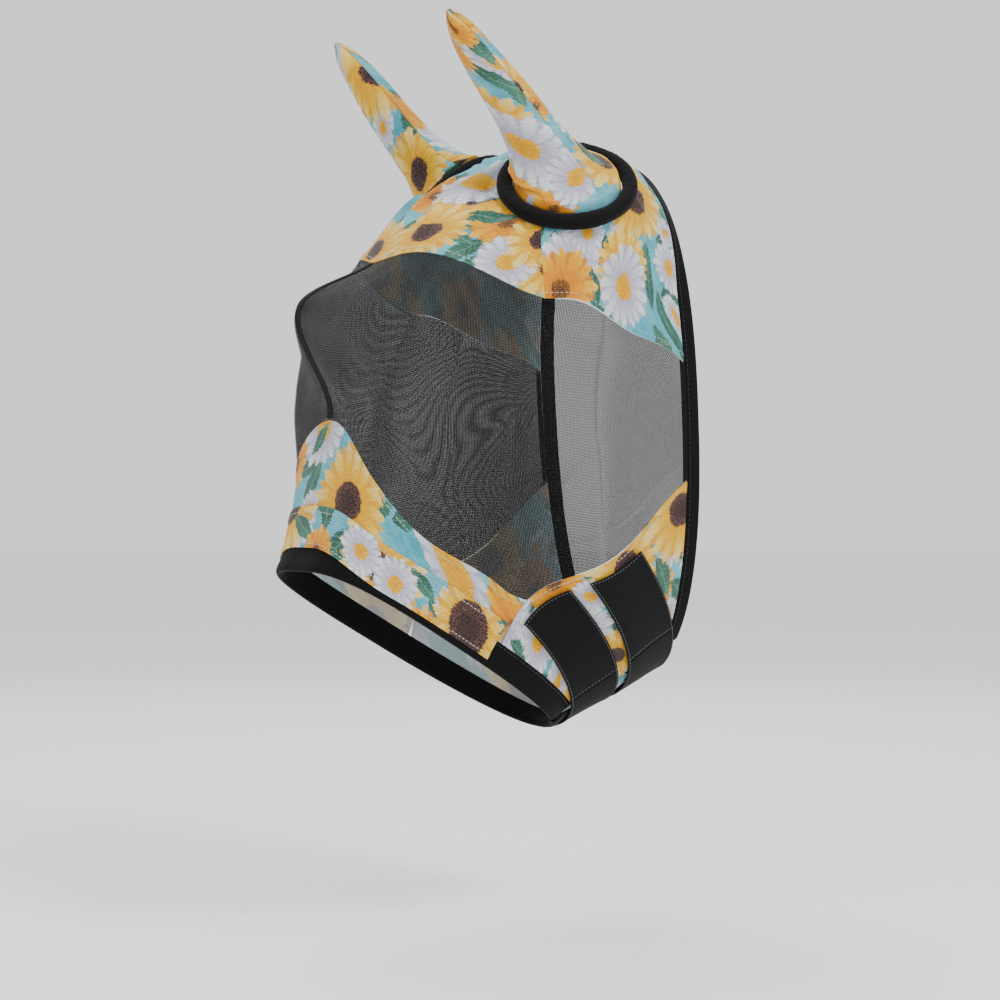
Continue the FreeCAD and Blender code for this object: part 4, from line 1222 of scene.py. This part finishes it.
def ear_grid(side, panel, extra):
    """Points of one ear sleeve panel; extra is added to its radius."""
    normal, middle = ear_normal(side), ear_middle(side)
    tip = np.array([side * SIZE.ear_tip_side, -SIZE.ear_tip_reach, SIZE.ear_tip_rise])
    ball = SIZE.ring_bore - SIZE.clearance - SIZE.cloth
    skirt, rise = SIZE.ear_skirt, SIZE.ear_rise
    neck = middle + normal * rise
    bends = (neck, neck + normal * 6.0, middle + (tip - middle) * 0.45, tip)
    neck_radius = math.sqrt(ball ** 2 - rise ** 2)
    middle_radius, upper_radius = SIZE.ear_middle_radius, SIZE.ear_upper_radius
    shape = curve_through((
        (0.0, neck_radius), (0.12, middle_radius + (neck_radius - middle_radius) * 0.63),
        (0.42, middle_radius), (0.76, upper_radius), (0.90, upper_radius * 0.72),
        (0.965, upper_radius * 0.42), (1.0, SIZE.cloth)))
    u, v = grid(56, 130)
    height = -skirt + (rise + skirt) * v / SLEEVE_FOOT
    way = np.clip((v - SLEEVE_FOOT) / (1.0 - SLEEVE_FOOT), 0.0, 1.0)
    w = way[..., None]
    line = ((1 - w) ** 3 * bends[0] + 3 * w * (1 - w) ** 2 * bends[1] + 3 * w ** 2 * (1 - w) * bends[2]
            + w ** 3 * bends[3])
    low = (v < SLEEVE_FOOT)[..., None]
    spot = np.where(low, middle + normal * height[..., None], line)
    turned = ease(way / 0.65)[..., None]
    ahead = np.where(low, normal, unit(normal * (1.0 - turned) + unit(tip - middle) * turned))
    in_ball = np.clip(height, -ball, rise)
    radius = np.where(v < SLEEVE_FOOT, np.sqrt(ball ** 2 - in_ball ** 2), shape(way))
    squeeze = np.where(v < SLEEVE_FOOT, 1.0, 1.0 - 0.12 * ease(way / 0.4))
    lateral = np.array([float(side), 0.0, 0.0])
    wide = unit(lateral - ahead * (ahead @ lateral)[..., None])
    deep = np.cross(ahead, wide) * side
    angle = math.pi * (u if panel == "outer" else 1.0 + u)
    toward = np.clip(np.cos(angle - EAR_BULGE[side]), 0.0, 1.0) ** 1.5
    bulge = EAR_BULGE_REACH * toward * rise_and_fall(way, 0.0, 0.16, 0.22, 0.55)
    lift = extra + sleeve_lift(u, v, angle, 40 + (side > 0) * 2 + (panel == "outer"))
    if panel == "outer" and extra > 0:
        hem = 1.0 - ease((np.minimum(u, 1.0 - u) - 0.05) / 0.02)
        lift = lift + 0.55 * hem * ease((v - SLEEVE_FOOT) / 0.03)
    thick = (radius + bulge + lift)[..., None]
    across, out = np.cos(angle)[..., None], (squeeze * np.sin(angle))[..., None]
    return spot + wide * thick * across + deep * thick * out


def elastic_ring(side):
    """Points and flat map of the gathered elastic round an ear."""
    normal = ear_normal(side)
    angle, section = np.meshgrid(round_angles(220), round_angles(20), indexing="ij")
    aside, up = round_axes(normal)
    pucker = 0.10 * np.sin(46 * angle + 2.0 * np.sin(5 * angle)) + 0.25 * np.sin(7 * angle + side)
    half_band, half_height = (SIZE.ring_band + RING_WIDER) / 2.0, (SIZE.ring_height + RING_HIGHER) / 2.0
    radius = SIZE.ring_bore + half_band + (half_band + 0.5 * pucker) * signed_power(np.cos(section), 0.75)
    height = SIZE.cloth + half_height + (half_height + pucker) * signed_power(np.sin(section), 0.75)
    radius = np.maximum(radius, SIZE.ring_bore + 0.05)[..., None]
    height = np.maximum(height, SIZE.cloth + 0.05)[..., None]
    points = (ear_middle(side) + radius * (np.cos(angle)[..., None] * aside + np.sin(angle)[..., None] * up)
              + height * normal)
    return points, np.stack([angle * 48.0, section * 5.0], axis=-1) * MM


for side, word in SIDES:
    normal, middle = ear_normal(side), ear_middle(side)
    still, free = ((middle + normal * height) * MM for height in (SLEEVE_STILL, SLEEVE_FREE))
    blend = (SHELL, "ear_" + word, still, free)
    for panel, slot in (("outer", "print_cloth_ear"), ("inner", "print_cloth_ear_inner")):
        name = "ear_%s_%s" % (word, panel)
        outer, inner = (ear_grid(side, panel, extra) for extra in (SIZE.cloth, 0.0))
        piece = layered(name + "_cloth", outer, inner, flat_map(inner, 0.5, 0.3))
        finish_piece(piece, [name], slot, (ear_prints[name], ear_back), blend)
        if panel == "outer":
            outs = unit(outer - (outer[:1] + outer[-1:]) / 2.0)
            lines = [(outer[end, 30:124], outs[end, 30:124]) for end in (3, -4)]
    dashes("ear_%s_stitches" % word, lines, stitch_cloth, blend)
    ring = tube("ear_ring_%s_roll" % word, *elastic_ring(side), closed=True)
    finish_piece(ring, ["ear_ring_" + word], "ring_elastic", [elastic])


# ---------------------------------------------------------------- tapes, straps and patches

def flat_strip(name, nodes, slot, material, outer, inner, flat, **moves):
    piece = layered(name, outer, inner, flat_map(flat), two_sided=False)
    return finish_piece(piece, nodes, slot, [material], **moves)


u, v = grid(8, 70)
tape_share = NOSE_SEAM[0][0] + TAPE_INSET + (CROWN_HEM[0][0] - NOSE_SEAM[0][0] - 2.0 * TAPE_INSET) * v
aside = np.stack([(2.0 * u - 1.0) * SIZE.tape_width / 2.0, 0.0 * u, 0.0 * u], axis=-1)
tape_base = SIZE.mesh_gauge + SEWN_GAP
tape_top = tape_base + SIZE.tape_gauge
tape_outer, tape_inner = (at(tape_share, 0.0, level) + aside for level in (tape_top, tape_base))
flat_strip("centre_tape", ["mesh_centre_tape"], "edge_tape", tape, tape_outer, tape_inner, tape_outer)

for side, word in SIDES:
    u, v = grid(40, 8)
    turn = between(REAR_HEM[-1][1], JAW_SEAM[-1][1], u)
    for _ in range(3):
        start = share_after(turn, row_length(turn) - SIZE.neck_edge_width - EDGE_TAPE_WIDTH)
        share = between(start, neck_edge(turn), v)
        turn = between(rear_hem_turn(share) + TAPE_END, jaw_turn(share) - TAPE_END, u)
    outer, inner = (at(share, turn, level) * (side, 1.0, 1.0) for level in (tape_top, tape_base))
    flat_strip("edge_tape_" + word, ["mesh_edge_tape_" + word], "edge_tape", tape, outer, inner, outer)


def hinge(name):
    return np.array([joint for joint in frame["joints"] if joint["name"] == name][0]["pos_m"])


def crossing(which, turn, joint, reach):
    """Two points on each side of a hinge line, along the strap from its sewn end to its tab."""
    low, high = (at(strap_share(which, np.array(t), 0.5), np.array(t), TAB_LOW)
                 for t in (turn + 2.0, turn - 2.0))
    way = unit(high - low) * reach * MM
    return hinge(joint) - way, hinge(joint) + way


def strap_web(which, word, nodes, first, last, blend, along, low_from=TAB_LOW):
    """Webbing of one strap or tab; low_from is the level of its underside at the sewn end."""
    share, turn = strap_place(which, first, last)(*grid(26, along))
    under = between(TAB_LOW, low_from, ease((turn - STRAP_SEAM) / 2.0))
    flat = at(share, turn, TAB_HIGH)
    rim = edge_distance(flat)
    soft = 0.5 * (1.0 - rounded_edge(rim, 1.0))
    selvedge = 0.22 * (1.0 - ease((edge_distance(flat, ("u0", "u1")) - 2.2) / 0.8))
    wave = 0.14 * ripple(flat, 24.0, 60 + len(word)) * ease(rim / 6.0)
    outer = at(share, turn, TAB_HIGH - soft + selvedge + wave)
    inner = at(share, turn, under + 0.6 * soft)
    flat_strip("%s_%s" % (which, word), nodes, "strap_webbing", webbing, outer, inner, flat, blend=blend)
    return outer


for which in ("front", "rear"):
    crease = CREASES[which]
    swing = (SHELL, which + "_strap", *crossing(which, STRAP_SEAM, which + "_strap_swing", 4.0))
    peel = (which + "_strap", which + "_tab", *crossing(which, crease, which + "_tab_peel", 3.0))
    strap_outer = strap_web(which, "strap_web", [which + "_strap_anchor", which + "_strap"],
                            STRAP_SEAM + STRAP_SEWN, STRAP_JOIN, swing, 84, SEWN_LOW)
    tab_outer = strap_web(which, "tab_web", [which + "_tab"], STRAP_JOIN - 0.06, None, peel, 72)
    for word, outer, blend, sides in (
            ("strap", strap_outer, swing, (("u0", 1.6), ("u1", 1.6), ("v0", 2.5), ("v0", 14.0))),
            ("tab", tab_outer, peel, (("u0", 1.6), ("u1", 1.6), ("v1", 1.6), ("v0", 3.0)))):
        dashes("%s_%s_stitches" % (which, word), [line_on(outer, *side) for side in sides], stitch_grey,
               blend, thick=0.22, length=2.0, gap=1.0)
    share, turn = strap_place(which, crease - 1.0, None, SIZE.patch_margin)(*grid(20, 40))
    for word, low, high, material, body in (("hook", HOOK_LOW, TAB_LOW, hook, which + "_tab"),
                                            ("loop", SIZE.cloth + 0.05, LOOP_TOP, loop, SHELL)):
        flat = at(share, turn, low)
        soft = 0.3 * (1.0 - rounded_edge(edge_distance(flat), 0.8))
        top, bottom = (high - soft, low) if word == "loop" else (high, low + soft)
        flat_strip("%s_%s_patch_cloth" % (which, word), ["%s_%s_patch" % (which, word)], word + "_tape",
                   material, at(share, turn, top), at(share, turn, bottom), flat, body=body)


# ---------------------------------------------------------------- stitching on the shell

cloth_lines = [line_on(*row) for row in (
    (front_outer, "v0", 4.5), (left_outer, "u1", 4.5), (right_outer, "u1", 4.5), (nose_outer, "v1", 4.5),
    (band_outer, "v1", 5.0), (band_outer, "v0", 3.0), (jaw_outer, "v0", 3.5), (jaw_outer, "v1", 3.5),
    (flap_outer, "v0", 3.5), (flap_outer, "v1", 3.5))]
dashes("cloth_stitches", cloth_lines, stitch_cloth, thick=0.26)
dashes("tape_stitches", [line_on(tape_outer, side, 1.3) for side in ("u0", "u1")], stitch_black, thick=0.22)
roll_lines = []
for turns, inset, from_neck, level in ((neck_turns, 3.0, True, 1.22), (nose_turns, 19.5, False, 0.95)):
    turns = turns[2:-2]
    share = share_after(turns, row_length(turns) - SIZE.neck_edge_width + inset if from_neck else inset)
    roll_lines.append((at(share, turns, SIZE.cloth / 2.0 + level), direction_out(share, turns)))
dashes("binding_stitches", roll_lines, stitch_black, thick=0.24)


# ---------------------------------------------------------------- floor, light and camera

floor_level = CAD_BOX[0].z - FLOOR_DROP
floor_angles = [2 * math.pi * i / 48 for i in range(48)]
floor_mesh = bpy.data.meshes.new("floor")
floor_mesh.from_pydata([(FLOOR_RADIUS * math.cos(a), FLOOR_RADIUS * math.sin(a), floor_level)
                        for a in floor_angles], [], [tuple(range(48))])
floor = bpy.data.objects.new("floor", floor_mesh)
floor.data.materials.append(plain_material("floor_paper", (0.90, 0.90, 0.90), 3.0, 2.0, (0.02, 0.99),
                                           Roughness=0.9, Specular_IOR_Level=0.2)[0])
bpy.context.scene.collection.objects.link(floor)

world = bpy.data.worlds.new("studio")
world.use_nodes = True
backdrop = world.node_tree.nodes["Background"]
backdrop.inputs[0].default_value = (0.98, 0.99, 1.0, 1.0)
backdrop.inputs[1].default_value = 1.15
bpy.context.scene.world = world


def aimed(name, data, place, way):
    """Puts a lamp or camera at a place, looking along a way."""
    holder = bpy.data.objects.new(name, data)
    holder.location = place
    holder.rotation_mode = "QUATERNION"
    holder.rotation_quaternion = way.to_track_quat("-Z", "Y")
    bpy.context.scene.collection.objects.link(holder)
    return holder


for name, place, width, power in (
        ("key", (2.3, 0.1, 1.7), 0.7, 62.0), ("fill", (0.2, -2.4, 0.9), 1.6, 16.0),
        ("top", (-0.9, -0.2, 2.0), 0.9, 20.0), ("back", (-1.8, 1.2, 0.8), 1.4, 8.0)):
    lamp = bpy.data.lights.new(name, "AREA")
    lamp.size = width
    lamp.energy = power
    aimed(name, lamp, place, MASK_MIDDLE - Vector(place))

lens = bpy.data.cameras.new("camera")
lens.lens, lens.sensor_width = CAMERA_LENS, 36.0
bpy.context.scene.camera = aimed("camera", lens, CAMERA_PLACE,
                                 Vector((-math.sin(CAMERA_TURN), math.cos(CAMERA_TURN), 0.0)))
